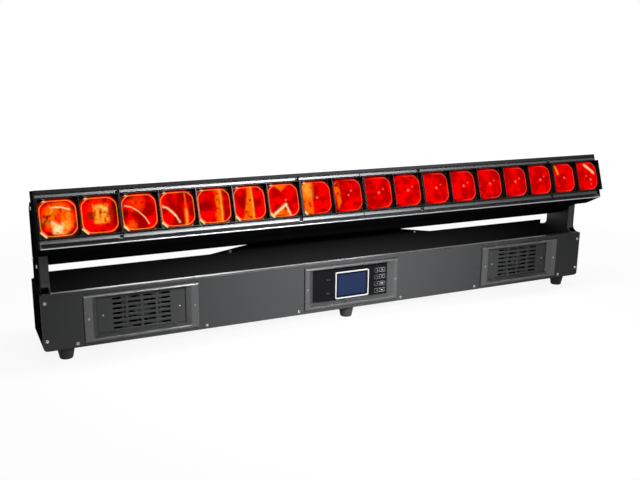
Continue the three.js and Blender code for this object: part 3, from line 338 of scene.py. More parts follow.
# %% Paints, plastics, rubbers and metals
coated("base_black", 0.55, specular=0.0, radius=0.9 * mm, gain=0.45)
coated("panel_grey", 0.28, specular=0.1, speckle=0.4, cloud=0.04, radius=1.4 * mm, wear=0.04, gain=0.97)
coated("arm_grey", 0.38, specular=0.3, radius=1.8 * mm, wear=0.05, gain=0.9)
coated("frame_plastic", 0.28, specular=0.8, speckle=0.15, radius=2.4 * mm, scale=2500.0, wear=0.06)
coated("gloss_black", 0.2, specular=0.015, speckle=0.05, bump=0.03, wear=0.0)
coated("white_print", 0.4, specular=0.2, speckle=0.05, cloud=0.05, wear=0.0, gain=0.6)
coated("key_black", 0.35, specular=0.03, speckle=0.1)
coated("circuit_green", 0.35, speckle=0.3, scale=700.0, wear=0.0)
coated("black_plastic", 0.4, specular=0.35)
coated("foot_rubber", 0.75, gain=0.85, specular=0.2, speckle=0.3, scale=1200.0, wear=0.1, bump=0.4)
coated("belt_rubber", 0.7, specular=0.3, wear=0.0)
coated("motor_black", 0.3)
coated("head_black", 0.5, specular=0.0, radius=1.0 * mm)
coated("cell_black", 0.22, specular=0.06, speckle=0.05, cloud=0.04, bump=0.02, wear=0.0)
coated("board_white", 0.3, speckle=0.08, wear=0.0)
metal("bare_aluminium", 0.32, gain=0.85)
metal("bearing_steel", 0.3, stretch=(900, 900, 900), gain=0.65)
metal("sink_black", 0.45)
metal("bezel_grey", 0.42, stretch=(12, 1400, 1400), gain=1.35)
print("finishes:", len(finishes))

# %% [markdown]
# ## Screen and lens finishes
# Two finishes glow. The liquid crystal window is a dim blue field inside a dark border, drawn from
# its place on the panel. A lens is lit from behind by its own emitter, and here the lens itself glows in
# place of that light: the picture of the light inside the lens, with painted highlights and reflections,
# is carried as a colour attribute on the lens mesh, worked out further down, and a fine mottle breaks it up.

# %% Field group for the screen
def make_field_group():
    """One inside a box in X and Z, and zero outside, with a soft edge."""
    group, given, result = new_group(
        "box_field",
        {"Centre": (0, 0, 0), "Half Width": 10.0 * mm, "Half Height": 10.0 * mm, "Softness": 0.4 * mm},
        {"Inside": 1, "Rise": 1},
    )
    sources = {0: object_place(group), 1: given["Centre"]}
    offset = add_node(group, "VectorMath", sources, operation="SUBTRACT").outputs[0]
    parts = add_node(group, "SeparateXYZ", {0: offset}).outputs
    sides = []
    for axis, half in (("X", "Half Width"), ("Z", "Half Height")):
        past = math_node(group, "SUBTRACT", math_node(group, "ABSOLUTE", parts[axis]), given[half])
        share = math_node(group, "DIVIDE", past, given["Softness"])
        sides.append(math_node(group, "SUBTRACT", 0.5, share, clamp=True))
    inside = math_node(group, "MULTIPLY", *sides)
    rise = math_node(group, "DIVIDE", parts["Z"], given["Half Height"])
    wire_all(group, result, {"Inside": inside, "Rise": rise})
    return group


field_group = make_field_group()
print("group:", field_group.name)

# %% Screen finish
screen_border = 2.0 * mm
field_shift = Vector((-0.6 * mm, 0, 0.5 * mm))
border_colour = (0.004, 0.005, 0.012, 1)
lit_below = (0.030, 0.056, 0.16, 1)
lit_above = (0.018, 0.036, 0.11, 1)
unlit = (0, 0, 0, 1)


def middle_and_half(node):
    """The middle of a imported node's box, and half of the box's size."""
    low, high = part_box(node)
    return (low + high) / 2, (high - low) / 2


def make_screen_finish():
    """Blue where the field is 1 and nearly black where it is 0, with a faint glow in the field."""
    centre, half = middle_and_half("screen")
    width, height = half.x - screen_border, half.z - screen_border
    tree, shader = start_material("screen_blue", 0.1)
    field = place_group(tree, field_group, {
        "Centre": centre + field_shift, "Half Width": width, "Half Height": height})
    grain = place_group(tree, grain_group, {
        "Colour": slot_colour("screen_blue", 0.25), "Roughness": 0.14, "Scale": 3000.0, "Cloud": 0.5})
    lit = mix_node(tree, ramp_node(tree, field["Rise"], -1.0, 1.0), lit_below, lit_above)
    wire_all(tree, shader, {
        "Base Color": mix_node(tree, field["Inside"], border_colour, grain["Colour"]),
        "Roughness": grain["Roughness"],
        "Emission Color": mix_node(tree, field["Inside"], unlit, lit),
        "Emission Strength": 0.08})
    print("lit field, mm:", round(width * 2 / mm, 1), "x", round(height * 2 / mm, 1))


make_screen_finish()

# %% Lens finish
light_layer = "lens_light"
lens_dark = (0.01, 0.0, 0.0, 1)
lens_clear = (0.05, 0.0, 0.0, 1)


def make_lens_finish():
    """The colour attribute, the emitter's light with painted highlights and reflections, glows through a coarse
    grain, over a nearly black glossy red.
    """
    tree, shader = start_material("lens_red", 0.0)
    light = add_node(tree, "Attribute", attribute_name=light_layer).outputs["Color"]
    grain = place_group(tree, grain_group, {
        "Colour": light, "Roughness": 0.08, "Scale": 260.0, "Speckle": 0.7, "Cloud": 0.1})
    wire_all(tree, shader, {
        "Base Color": mix_node(tree, grain["Height"], lens_dark, lens_clear),
        "Roughness": grain["Roughness"],
        "Emission Color": grain["Colour"],
        "Emission Strength": 1.0})


make_lens_finish()
print("all finishes:", sorted(finishes))

# %% [markdown]
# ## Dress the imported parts
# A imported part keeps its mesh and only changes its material. The record says which slot each part
# takes, so one loop dresses them all.

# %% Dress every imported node
for part in frame["record"]["subparts"]:
    node = frame["nodes"][part["node"]]
    node.data.materials.clear()
    node.data.materials.append(finishes[part["material_slot"]])

# %% [markdown]
# ## Surfaces from two parameters
# Every new piece here is a surface worked out on a grid: rows run one way, columns the other, and
# a formula gives the place of each point. The columns close on themselves, and the end rows are
# joined or drawn in to a point, so the skin is closed. Whole arrays are worked out at once, which
# is fast, and the faces follow from the grid alone.

# %% Grid to mesh
weld_distance = 0.002 * mm


def grid_faces(rows, columns):
    """Quads between neighbouring rows and columns. The last column joins the first."""
    row = np.arange(rows - 1)[:, None]
    column = np.arange(columns)
    after = (column + 1) % columns
    corners = (row * columns + column, row * columns + after,
               (row + 1) * columns + after, (row + 1) * columns + column)
    return np.stack(corners, -1).reshape(-1, 4)


def grids_to_mesh(name, grids, colours):
    """Joins point grids into one mesh, merges points that coincide, and turns faces outward."""
    starts = np.cumsum([0] + [grid.shape[0] * grid.shape[1] for grid in grids])
    faces = [grid_faces(*grid.shape[:2]) + start for grid, start in zip(grids, starts)]
    points = np.concatenate([grid.reshape(-1, 3) for grid in grids])
    mesh = bpy.data.meshes.new(name)
    mesh.from_pydata(points.tolist(), [], np.concatenate(faces).tolist())
    if colours is not None:
        layer = mesh.attributes.new(light_layer, "FLOAT_COLOR", "POINT")
        layer.data.foreach_set("color", colours.astype(np.float32).ravel())
    work = bmesh.new()
    work.from_mesh(mesh)
    bmesh.ops.remove_doubles(work, verts=work.verts, dist=weld_distance)
    bmesh.ops.dissolve_degenerate(work, edges=work.edges, dist=weld_distance)
    bmesh.ops.recalc_face_normals(work, faces=work.faces)
    work.to_mesh(mesh)
    work.free()
    return mesh


print("faces of 3 rows of 4:", len(grid_faces(3, 4)))

# %% Pieces
def add_piece(name, grids, body, slot, colours=None):
    """A finished piece made of grids of rows x columns x 3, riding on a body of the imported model."""
    mesh = grids_to_mesh(name, grids, colours)
    mesh.materials.append(finishes[slot])
    piece = add_object(name, mesh)
    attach(piece, body)
    return piece


def smooth(piece, angle_degrees=35.0):
    """Shades smoothly, but keeps edges sharper than the angle."""
    piece.data.shade_smooth()
    piece.data.set_sharp_from_angle(angle=np.radians(angle_degrees))


# %% Axes for a piece that faces any way
front = (0, -1, 0)
back = (0, 1, 0)
upright = (0, 0, 1)


def facing(outward, upward=upright):
    """Three axes as rows: across, up along the face, and outward."""
    out = Vector(outward).normalized()
    across = Vector(upward).cross(out).normalized()
    return np.array([across, out.cross(across), out])


def put(local, axes, place):
    """Turns local points by the axes and moves them to their place."""
    return local @ axes + np.array(place)


print("axes of a face that looks back:", facing(back).tolist())

# %% [markdown]
# ## The head's own directions
# The head is tilted up at rest. Its forward direction is the one that the lenses slide along for
# zoom, and its pivot is the tilt joint's place, so both come from the joints instead of being
# typed again.

# %% Head directions
joints = {joint["name"]: joint for joint in frame["joints"]}
pivot = np.array(joints["head_tilt"]["pos_m"])
forward = np.array(joints["zoom_left"]["axis"], float)
forward /= np.linalg.norm(forward)
head_up = np.cross(forward, (1, 0, 0))
head_axes = np.array([(1, 0, 0), -forward, head_up])


def on_head(local):
    """Points in the head's frame, in metres along the bar, towards the back, and up."""
    return put(local, head_axes, pivot)


print("head up:", np.round(head_up, 3))

# %% [markdown]
# ## Lenses
# Each real lens is a square block of clear plastic with cut corners and a gently domed front. The
# red light inside shows as bright streaks and patches that differ from lens to lens, because each
# is seen from another angle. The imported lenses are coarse, so finer ones replace them. A lens is a
# set of rings, each the same cut square drawn in by a share, from the middle of the dome out to the
# rim, down the side and in to the middle of the back.

# %% Sizes of a lens
lens_pitch = 55.5 * mm
lens_count = 18
lens_half = 25.5 * mm
lens_corner = 9.0 * mm
lens_tip = 87.0 * mm
lens_edge = 84.4 * mm
lens_rim = 83.0 * mm
lens_back = 71.7 * mm
lens_edge_share = 0.975
skirt_half_width = 25.8 * mm
skirt_half_height = 26.4 * mm
skirt_corner = 8.0 * mm
skirt_front = 81.0 * mm
skirt_back = 79.5 * mm
dome_rings = 34
skirt_rings = 5
side_points = 14
corner_passes = 10
print("row of lenses, mm:", round(lens_pitch * lens_count / mm))

# %% Shape of a lens
def cut_square(half, half_up, corner):
    """Points round a rectangle with cut corners, evenly spaced along each of its eight sides.
    Each pass then draws every point towards its neighbours, which rounds the eight corners."""
    inner = half - corner
    inner_up = half_up - corner
    corners = np.array([(half, -inner_up), (half, inner_up), (inner, half_up), (-inner, half_up),
                        (-half, inner_up), (-half, -inner_up), (-inner, -half_up), (inner, -half_up)])
    share = np.linspace(0, 1, side_points, endpoint=False)[None, :, None]
    ahead = np.roll(corners, -1, 0)
    outline = (corners[:, None] * (1 - share) + ahead[:, None] * share).reshape(-1, 2)
    for _ in range(corner_passes):
        outline = (np.roll(outline, 1, 0) + 2 * outline + np.roll(outline, -1, 0)) / 4
    return outline


def lens_rings():
    """Each ring's share of the front, its share of the way to the skirt, and its distance ahead.
    The dome falls off with the square of the share."""
    dome_share = np.linspace(0, lens_edge_share, dome_rings)
    dome_ahead = lens_tip - (lens_tip - lens_edge) * (dome_share / lens_edge_share) ** 2
    skirt = np.linspace(0, 1, skirt_rings)
    share = np.concatenate([dome_share, np.ones(1 + skirt_rings), (1, 1, 1, 0)])
    outward = np.concatenate([np.zeros(dome_rings + 1), skirt, (1, 0, 0, 0)])
    ahead = np.concatenate([dome_ahead, (lens_rim,), np.full(skirt_rings, skirt_front),
                            (skirt_back, skirt_back, lens_back, lens_back)])
    return share[:, None], outward[:, None], ahead[:, None]


ring_share, ring_outward, ring_ahead = lens_rings()
front_outline = cut_square(1.0, 1.0, lens_corner / lens_half)
skirt_outline = cut_square(skirt_half_width, skirt_half_height, skirt_corner) / lens_half
lens_u, lens_v = (ring_share * front_side + ring_outward * (skirt_side - front_side)
                  for front_side, skirt_side in zip(front_outline.T, skirt_outline.T))


def lens_grid(centre):
    """Across and up are the outline drawn in by each ring's share, and depth is the ring's own."""
    depth = -ring_ahead * np.ones_like(lens_u)
    return on_head(np.stack([centre + lens_u * lens_half, depth, lens_v * lens_half], -1))


print("points in a lens:", lens_u.size)

# %% [markdown]
# ## Light inside the lenses
# The streaks are painted light, drawn as a light artist would: the emitter's glare, its light bent in
# the side walls, and painted reflections and highlights, as a list of strokes for each lens, in the lens's own
# square from -100 to 100. A line stroke is brightest along its path. A patch is a filled outline
# with a soft edge. Noise, summed from smooth random lattices, keeps the red from looking flat.

# %% Stroke tools
deep_red = np.array((0.16, 0.0, 0.0))
full_red = np.array((1.0, 0.0, 0.0))
orange = np.array((1.0, 0.16, 0.0))
amber = np.array((1.0, 0.42, 0.03))
pale = np.array((1.0, 0.82, 0.38))
pink = np.array((1.0, 0.22, 0.16))
stroke_points = np.stack([lens_u, lens_v], -1) * 100


def path_distance(path):
    """The distance from every lens point to the nearest stretch of a path."""
    gaps = []
    path = np.array(path, float)
    for start, end in zip(path[:-1], path[1:]):
        along = end - start
        reach = np.clip((stroke_points - start) @ along / (along @ along), 0, 1)
        gaps.append(np.linalg.norm(stroke_points - start - reach[..., None] * along, axis=-1))
    return np.min(gaps, 0)


def line(path, width):
    """One on the path, falling off as a bell curve with the distance from it."""
    return np.exp(-(path_distance(path) / width) ** 2)


def patch(outline, softness):
    """Inside by the even-odd rule, then softened by the distance to the outline."""
    u, v = np.moveaxis(stroke_points, -1, 0)
    corners = np.array(outline, float)
    inside = np.zeros(u.shape, bool)
    for a, b in zip(corners, np.roll(corners, -1, 0)):
        if a[1] != b[1]:
            crosses = (a[1] > v) != (b[1] > v)
            inside ^= crosses & (u < (b[0] - a[0]) * (v - a[1]) / (b[1] - a[1]) + a[0])
    distance = path_distance([*outline, outline[0]])
    return np.clip(0.5 + np.where(inside, distance, -distance) / softness, 0, 1)


def disc(centre, radius, softness):
    """One inside the radius and zero outside, with a soft edge."""
    gap = np.linalg.norm(stroke_points - centre, axis=-1)
    return np.clip(0.5 + (radius - gap) / softness, 0, 1)


print("share of lens points in a disc:", round(float(disc((0, 0), 50, 10).mean()), 2))

# %% Noise from a lattice
def lattice_noise(seed, cells):
    """Random values on a lattice, joined by smooth blends between the four nearest."""
    values = np.random.default_rng(seed).random((cells + 2, cells + 2))
    place = (np.stack([lens_v, lens_u]) + 1) / 2 * cells
    row, column = cell = np.clip(place.astype(int), 0, cells)
    up, across = (place - cell) ** 2 * (3 - 2 * (place - cell))
    low = values[row, column] * (1 - across) + values[row, column + 1] * across
    high = values[row + 1, column] * (1 - across) + values[row + 1, column + 1] * across
    return low * (1 - up) + high * up


print("mean of the noise:", round(float(lattice_noise(1, 4).mean()), 2))

# %% Painted light strokes of each lens, counted from the left end
# Each stroke is its mask, its colour, its strength, and how finely noise breaks it up. Zero leaves
# it whole.
def sparkle(centre, radius, softness, strength):
    """A small pink disc, a painted glint of the emitter deep behind the lens."""
    return disc(centre, radius, softness), pink, strength, 0


painted_light_strokes = {
    1: [
        (disc((0, 3), 78, 30), orange, 0.85, 7),
        (patch([(-75, -10), (-36, -5), (-20, -80), (30, -84), (62, -50), (50, 20), (10, -30),
                (-20, -20)], 30), amber, 0.8, 9),
        (patch([(-36, -17), (0, -35), (19, -30), (22, -80), (-30, -78)], 20), pale, 1.0, 8),
        (patch([(-8, 30), (12, 25), (10, -35), (-6, -35)], 16), full_red, 0.9, 0),
        (line([(-24, 60), (20, 58), (61, 44)], 3.5), pale, 0.9, 0),
        (line([(-40, 62), (-30, 50), (-36, 30)], 6), amber, 0.7, 0),
    ],
    2: [
        (disc((5, 15), 60, 50), orange, 0.12, 0),
        (patch([(-33, 60), (46, 55), (46, -40), (0, -48), (-30, -42)], 14), amber, 0.9, 8),
        (line([(0, 46), (36, 30)], 4), pale, 0.6, 0),
        (patch([(-2, 30), (10, 30), (10, 8), (-2, 8)], 10), deep_red, 0.9, 0),
        (patch([(75, 60), (100, 50), (100, -30), (78, -20)], 20), deep_red * 0.6, 0.8, 0),
    ],
    3: [
        (disc((-15, 45), 35, 50), orange, 0.3, 6),
        (line([(-80, 40), (-45, 30), (-7, 2), (25, -33), (45, -69)], 2.6), pale, 0.8, 0),
        (disc((-50, -73), 20, 30), orange, 0.6, 0),
        (disc((-92, -5), 20, 25), deep_red * 0.5, 0.8, 0),
    ],
    4: [
        (line([(-86, 20), (-60, 8), (-43, -9), (-16, -41), (3, -77)], 3.6), pale, 1.0, 0),
        (line([(-50, -2), (-20, -36)], 4.5), pale, 0.7, 0),
        (line([(47, 85), (46, -10)], 3.5), orange, 0.9, 0),
        (line([(46, -10), (44, -92)], 7.5), amber, 0.9, 0),
    ],
    5: [
        (patch([(10, 95), (50, 95), (46, -93), (0, -93)], 16), orange, 0.9, 6),
        (line([(40, 92), (38, -90)], 5), amber, 1.0, 0),
        (disc((-55, 20), 30, 40), deep_red, 0.7, 6),
        (disc((80, 10), 20, 30), deep_red, 0.8, 6),
    ],
    6: [
        (patch([(-5, 95), (16, 95), (18, -93), (-49, -93)], 10), orange, 0.95, 6),
        (line([(14, 90), (15, -90)], 5), amber, 1.0, 0),
        (disc((-70, 30), 25, 40), deep_red, 0.5, 6),
    ],
    7: [
        (patch([(-55, 95), (29, 90), (-13, 56)], 10), orange, 0.95, 0),
        (patch([(-76, -84), (8, -26), (34, -90)], 8), orange, 0.9, 6),
        (line([(-76, -84), (8, -26)], 7), pale, 1.0, 0),
        (line([(8, -26), (34, -90)], 5), pale, 0.9, 0),
        sparkle((10, 0), 5, 6, 0.9),
    ],
    8: [
        (patch([(-95, 92), (-31, 92), (-31, -100), (-82, -87)], 10), orange, 0.95, 6),
        (patch([(-90, 92), (-34, 92), (-40, 10), (-80, 30)], 50), amber, 0.9, 0),
        sparkle((0, 0), 6, 8, 0.8),
    ],
    9: [
        (patch([(-97, 89), (-58, 89), (-53, -39), (-74, -76)], 12), orange, 0.9, 6),
        sparkle((21, 25), 5, 6, 0.8),
        sparkle((0, 0), 5, 6, 0.8),
    ],
    17: [
        (line([(-62, 85), (-50, 30)], 6), amber, 0.8, 0),
        sparkle((0, 0), 6, 8, 0.8),
    ],
    18: [
        (line([(-8, 80), (64, 20)], 7.5), pale, 0.95, 0),
        sparkle((-10, 0), 5, 6, 0.8),
        sparkle((28, -27), 7, 8, 0.9),
        sparkle((32, -60), 5, 6, 0.6),
    ],
}
plain_sparkles = [
    sparkle((0, 0), 7, 8, 0.85),
    sparkle((35, 20), 5, 6, 0.6),
]
print("strokes:", sum(len(strokes) for strokes in painted_light_strokes.values()))

# %% Masks and levels of the light
coarse_cells = 4
fine_cells = 9
fine_seed = 50
mottle_start = 0.42
mottle_range = 0.22


def blend(light, amount, tint):
    """The light where the amount is 0, and the tint where it is 1."""
    amount = np.clip(amount, 0, 1)[..., None]
    return light * (1 - amount) + tint * amount


def along_bar(lens_number, left, right):
    """A value that changes evenly from the left end of the bar to the right end."""
    return left + (right - left) * (lens_number - 1) / (lens_count - 1)


def mottle_mask(lens_number):
    """Coarse and fine noise together, cut so that only the upper part of it darkens the red."""
    coarse = lattice_noise(lens_number, coarse_cells)
    fine = lattice_noise(lens_number + fine_seed, fine_cells)
    return np.clip((coarse * 0.55 + fine * 0.45 - mottle_start) / mottle_range, 0, 1)


def broken_up(mask, lens_number, fineness):
    """The mask where noise is high, and nothing where it is low."""
    texture = lattice_noise(lens_number * 7 + fineness, fineness * 2)
    return mask * np.clip(2.2 * texture - 0.2, 0, 1)


print("share of lens 1 that is mottled:", round(float((mottle_mask(1) > 0).mean()), 2))

# %% Colours of one lens
rim_highlight_share = 0.945
rim_highlight_width = 0.014
bright_rim_highlights = 7
glint_lenses = 8
# Painted glints at two corners of the first lenses.
corner_glints = [
    line([(-64, 97), (-80, 106)], 5),
    line([(-97, -68), (-68, -97)], 3.5),
]


def front_colours(lens_number):
    """Red with dark mottles, then the painted light strokes, then a painted highlight: a thin bright line round
    the front's edge.
    """
    light = full_red * along_bar(lens_number, 0.9, 0.84) * np.ones((*lens_u.shape, 1))
    light = blend(light, mottle_mask(lens_number) * along_bar(lens_number, 0.8, 0.5), deep_red)
    for mask, tint, strength, fineness in painted_light_strokes.get(lens_number, plain_sparkles):
        amount = mask * strength
        light = blend(light, broken_up(amount, lens_number, fineness) if fineness else amount, tint)
    # Painted highlight round the front's edge, strong on the first lenses and weaker to the right.
    rim_highlight = np.exp(-((ring_share - rim_highlight_share) / rim_highlight_width) ** 2) * np.ones_like(lens_u)
    level = 0.85 if lens_number <= bright_rim_highlights else 0.36 * np.clip(0.4 + lens_u, 0, 1)
    return blend(light, rim_highlight * level, along_bar(lens_number, amber, pink))


def lens_colours(lens_number):
    """The front's colours, then a skirt with a painted reflection that is brightest along its top, with painted
    glints at two corners, and a dark back. The last of the four numbers is alpha."""
    light = front_colours(lens_number)
    # Painted reflection on the skirt: brighter towards its top, and dimmer towards the right end of the bar.
    skirt = np.clip(0.3 + 0.8 * (lens_v - 0.6), 0.2, 0.9) * along_bar(lens_number, 1.0, 0.65)
    row = np.arange(lens_u.shape[0])[:, None, None]
    light = np.where(row >= dome_rings, full_red * skirt[..., None], light)
    light = np.where(row > dome_rings + skirt_rings, deep_red * 0.5, light)
    if lens_number <= glint_lenses:
        for glint in corner_glints:
            light = blend(light, glint, pale)
    return np.concatenate([light, np.ones((*lens_u.shape, 1))], -1)


print("mean colour of lens 1:", lens_colours(1).mean((0, 1)).round(2))

# %% Build the lens sets
half_sets = [2, 5, 2]
lens_sets = half_sets + half_sets[::-1]


def build_lenses():
    """Each packed set is moulded in one, so its lenses are one piece on one half of the carrier."""
    first = 0
    for index, count in enumerate(lens_sets, 1):
        numbers = range(first, first + count)
        places = [(i - (lens_count - 1) / 2) * lens_pitch for i in numbers]
        grids = [lens_grid(place) for place in places]
        colours = np.concatenate([lens_colours(i + 1).reshape(-1, 4) for i in numbers])
        side = "left" if places[0] < 0 else "right"
        piece = add_piece(f"lenses_{index}", grids, f"zoom_{side}", "lens_red", colours)
        smooth(piece, 20.0)
        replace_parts(piece, f"lens_set_{index}")
        first += count


build_lenses()
print("lens sets:", lens_sets)

# %% [markdown]
# ## Screws
# The small screws are cross-head screws with a low dome. A dome is a profile turned round an axis.
# The cross is cut into it by formula: a point is lowered where it lies near either arm of the
# cross. One grid serves every screw of a kind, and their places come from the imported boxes.

# %% Screw head
cross_half_width = 0.16
cross_wall = 0.06
cross_reach = 0.66
cross_end = 0.1


def screw_head(radius, height, depth):
    """Rings from the middle out: a dome that falls with the fourth power, less the cross."""
    share = np.concatenate([np.linspace(0, 0.9, 10), (0.97, 1.0, 1.0, 0.0)])[:, None]
    angle = np.linspace(0, 2 * np.pi, 32, endpoint=False)[None, :]
    across, up = share * np.cos(angle), share * np.sin(angle)
    arms = np.minimum(np.abs(across), np.abs(up))
    cross = np.clip((cross_half_width - arms) / cross_wall, 0, 1)
    cross *= np.clip((cross_reach - share) / cross_end, 0, 1)
    rise = height * (1 - share ** 4) ** 0.5 * np.ones_like(angle) - depth * cross
    rise[-2:] = 0.0
    return np.stack([across * radius, up * radius, rise], -1)


def add_screws(name, places, outward, radius=2.7 * mm, height=1.4 * mm, body="base",
               slot="bearing_steel", upward=upright):
    """One piece with the same screw head at each place. The cross is cut 0.7 of its height deep."""
    axes = facing(outward, upward)
    head = screw_head(radius, height, height * 0.7)
    smooth(add_piece(name, [put(head, axes, place) for place in places], body, slot), 40.0)
    print(f"{name}: {len(places)}")


def at_depth(places, y):
    """Puts places given as (x, z) on a plane that faces front or back."""
    return [(x, y, z) for x, z in places]


# %% Places of the front and rear panels' screws
panel_low, panel_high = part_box("front_panel")
rear_low, rear_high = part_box("rear_panel")
vent_low, vent_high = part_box("vent_frame_right")
display_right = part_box("display_frame")[1].x
panel_foot = panel_low.z
corner_x = panel_high.x - 6.0 * mm
corner_heights = (panel_foot + 72.5 * mm, panel_foot + 15.5 * mm)
row_x = (panel_high.x - 48.2 * mm, vent_low.x - 12.0 * mm, display_right + 8.8 * mm)
row_height = panel_foot + 6.0 * mm
panel_places = [(corner_x, z) for z in corner_heights] + [(x, row_height) for x in row_x]
panel_places += [(-x, z) for x, z in panel_places]
hump_places = [(sign * 182 * mm, panel_foot + 94.2 * mm) for sign in (-1, 1)]
print("places on a panel:", len(panel_places))

# %% Places of the frames' and grilles' screws
frame_inset = 7.5 * mm
vent_centre = (vent_low.x + vent_high.x) / 2
frame_height = (vent_low.z + vent_high.z) / 2
frame_x = (vent_low.x + frame_inset, vent_high.x - frame_inset, display_right - 5.0 * mm)
frame_places = [(sign * x, frame_height) for x in frame_x for sign in (-1, 1)]
grille_screw_x = 58.0 * mm
grille_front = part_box("vent_grille_right")[0].y
grille_x = [side * vent_centre + sign * grille_screw_x for side in (-1, 1) for sign in (-1, 1)]
grille_places = [(x, frame_height) for x in grille_x]
print("places on the frames:", len(frame_places), "on the grilles:", len(grille_places))

# %% Screws of the base
add_screws("panel_screws", at_depth(panel_places, panel_low.y), front)
add_screws("frame_screws", at_depth(frame_places, vent_low.y), front, 1.9 * mm, 1.0 * mm)
add_screws("rear_screws", at_depth(panel_places, rear_high.y), back)
add_screws("hump_screws", at_depth(hump_places, rear_low.y), front, 2.6 * mm, 1.2 * mm)
add_screws("hump_rear_screws", at_depth(hump_places, rear_high.y), back, 2.6 * mm, 1.2 * mm)
add_screws("grille_screws", at_depth(grille_places, grille_front), front, 1.4 * mm, 0.7 * mm)

# %% Screws of the arm covers
cover_places = [(0.0, 28.4 * mm), (-23.1 * mm, -52.5 * mm), (23.1 * mm, -52.5 * mm)]
for side, sign in (("left", -1), ("right", 1)):
    low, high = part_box(f"arm_cover_{side}")
    outer = high.x if sign > 0 else low.x
    places = [(outer, pivot[1] + y, pivot[2] + z) for y, z in cover_places]
    add_screws(f"cover_screws_{side}", places, (sign, 0, 0))

# %% Screws in the bezel's notches
notch_x = [sign * count * lens_pitch for count in (2, 7) for sign in (-1, 1)]
notch_front = 76.4 * mm
notch_up = 31.5 * mm
notch_places = np.array([(x, -notch_front, sign * notch_up) for x in notch_x for sign in (-1, 1)])
add_screws("bezel_screws", on_head(notch_places), forward, 2.3 * mm, 1.6 * mm, "head", "black_plastic",
           head_up)

# %% [markdown]
# ## Lip and lamps
# The head's lower cover ends in a rolled lip that catches the light as a bright line under the
# lenses. It is a thin bead carried straight along the bar: a circle of points at each end, drawn to
# its middle to close it. The two indicator lamps are small domes, turned like the screws.

# %% Bead along the bar
bead_radius = 1.0 * mm
bead_front = 83.2 * mm
bead_up = -40.2 * mm
bead_sides = 16
bead_stretches = 24


def bead_grid(start, end):
    """Circles along X: cosine back and sine up. The first and last have no radius."""
    along = np.array([start, *np.linspace(start, end, bead_stretches), end])[:, None]
    radius = np.full(along.shape, bead_radius)
    radius[[0, -1]] = 0.0
    angle = np.linspace(0, 2 * np.pi, bead_sides, endpoint=False)
    depth = radius * np.cos(angle) - bead_front
    height = radius * np.sin(angle) + bead_up
    return np.stack(np.broadcast_arrays(along, depth, height), -1)


cover_low, cover_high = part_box("head_bottom_cover")
smooth(add_piece("lip_bead", [on_head(bead_grid(cover_low.x, cover_high.x))], "head", "bare_aluminium"))
print("bead, mm:", round((cover_high.x - cover_low.x) / mm, 1))

# %% Indicator lamps
lamp_x = -41.5 * mm
lamp_heights = (panel_foot + 47.5 * mm, panel_foot + 33.5 * mm)
lamp_radius = 2.0 * mm
menu_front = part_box("menu_panel")[0].y
lamp_proud = menu_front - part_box("control_board")[0].y
lamp_dome = screw_head(lamp_radius, lamp_proud + 0.9 * mm, 0.0)
lamp_grids = [put(lamp_dome, facing(front), (lamp_x, menu_front, height)) for height in lamp_heights]
smooth(add_piece("indicator_lamps", lamp_grids, "base", "screen_blue"), 60.0)
print("the board's lamps stand proud by mm:", round(lamp_proud / mm, 2))

# %% [markdown]
# ## Rubber feet
# Each foot is a short cone with a rounded lower edge, moulded in one with a strip that joins it to
# the foot behind it. A cone is a profile of radius and height turned about an upright axis. The
# strip is a rectangle carried from one foot to the other.

# %% Turned profiles and stacked outlines
def circle_points(angle, radius):
    """Points at the given angles: cosine across and sine up, times the radius."""
    return radius * np.stack([np.cos(angle), np.sin(angle)], -1)


def turned(profile, segments=48):
    """Each profile point is (radius, height). It is carried round the upright axis."""
    radius, height = np.array(profile, float).T[:, :, None]
    angle = np.linspace(0, 2 * np.pi, segments, endpoint=False)[None, :]
    return np.stack([radius * np.cos(angle), radius * np.sin(angle), height * np.ones_like(angle)], -1)


def stack_outlines(rows, place):
    """Each row is an outline of (across, up) and its y. Across goes on X and up on Z."""
    return np.stack([np.insert(outline, 1, y, axis=1) for outline, y in rows]) + np.array(place)


def middle_of(outline):
    """An outline drawn in to its middle, which closes a stack."""
    return np.broadcast_to(outline.mean(0), outline.shape)


print("points in a turned profile of 3:", turned([(0, 0), (1, 0), (1, 1)]).shape)

# %% Profiles of a foot and its strip
foot_top = 14.0 * mm
foot_bottom = 10.0 * mm
foot_round = 2.0 * mm
foot_hollow = 0.6 * mm
strip_start = foot_top * 1.7
strip_half_width = 7.0 * mm
strip_thickness = 1.6 * mm


def foot_profile(top):
    """From the hollow underneath, round the lower edge by a quarter turn, up the cone, and in."""
    quarter = circle_points(np.linspace(-np.pi / 2, 0, 6), foot_round)
    lower_edge = quarter + (foot_bottom - foot_round, foot_round)
    return [(0, foot_hollow), (3.5 * mm, foot_hollow), (4.0 * mm, 0.0), *lower_edge,
            (foot_top - 0.8 * mm, top - 1.4 * mm), (foot_top, top - 1.0 * mm), (foot_top, top),
            (0, top)]


def strip_rows(start, end, top):
    """Four corners at the start and at the end, closed by their middle at both ends."""
    side, low = strip_half_width, top - strip_thickness
    corners = np.array([(-side, low), (side, low), (side, top), (-side, top)])
    middle = middle_of(corners)
    return [(middle, start), (corners, start), (corners, end), (middle, end)]


print("points in a foot's profile:", len(foot_profile(20 * mm)))

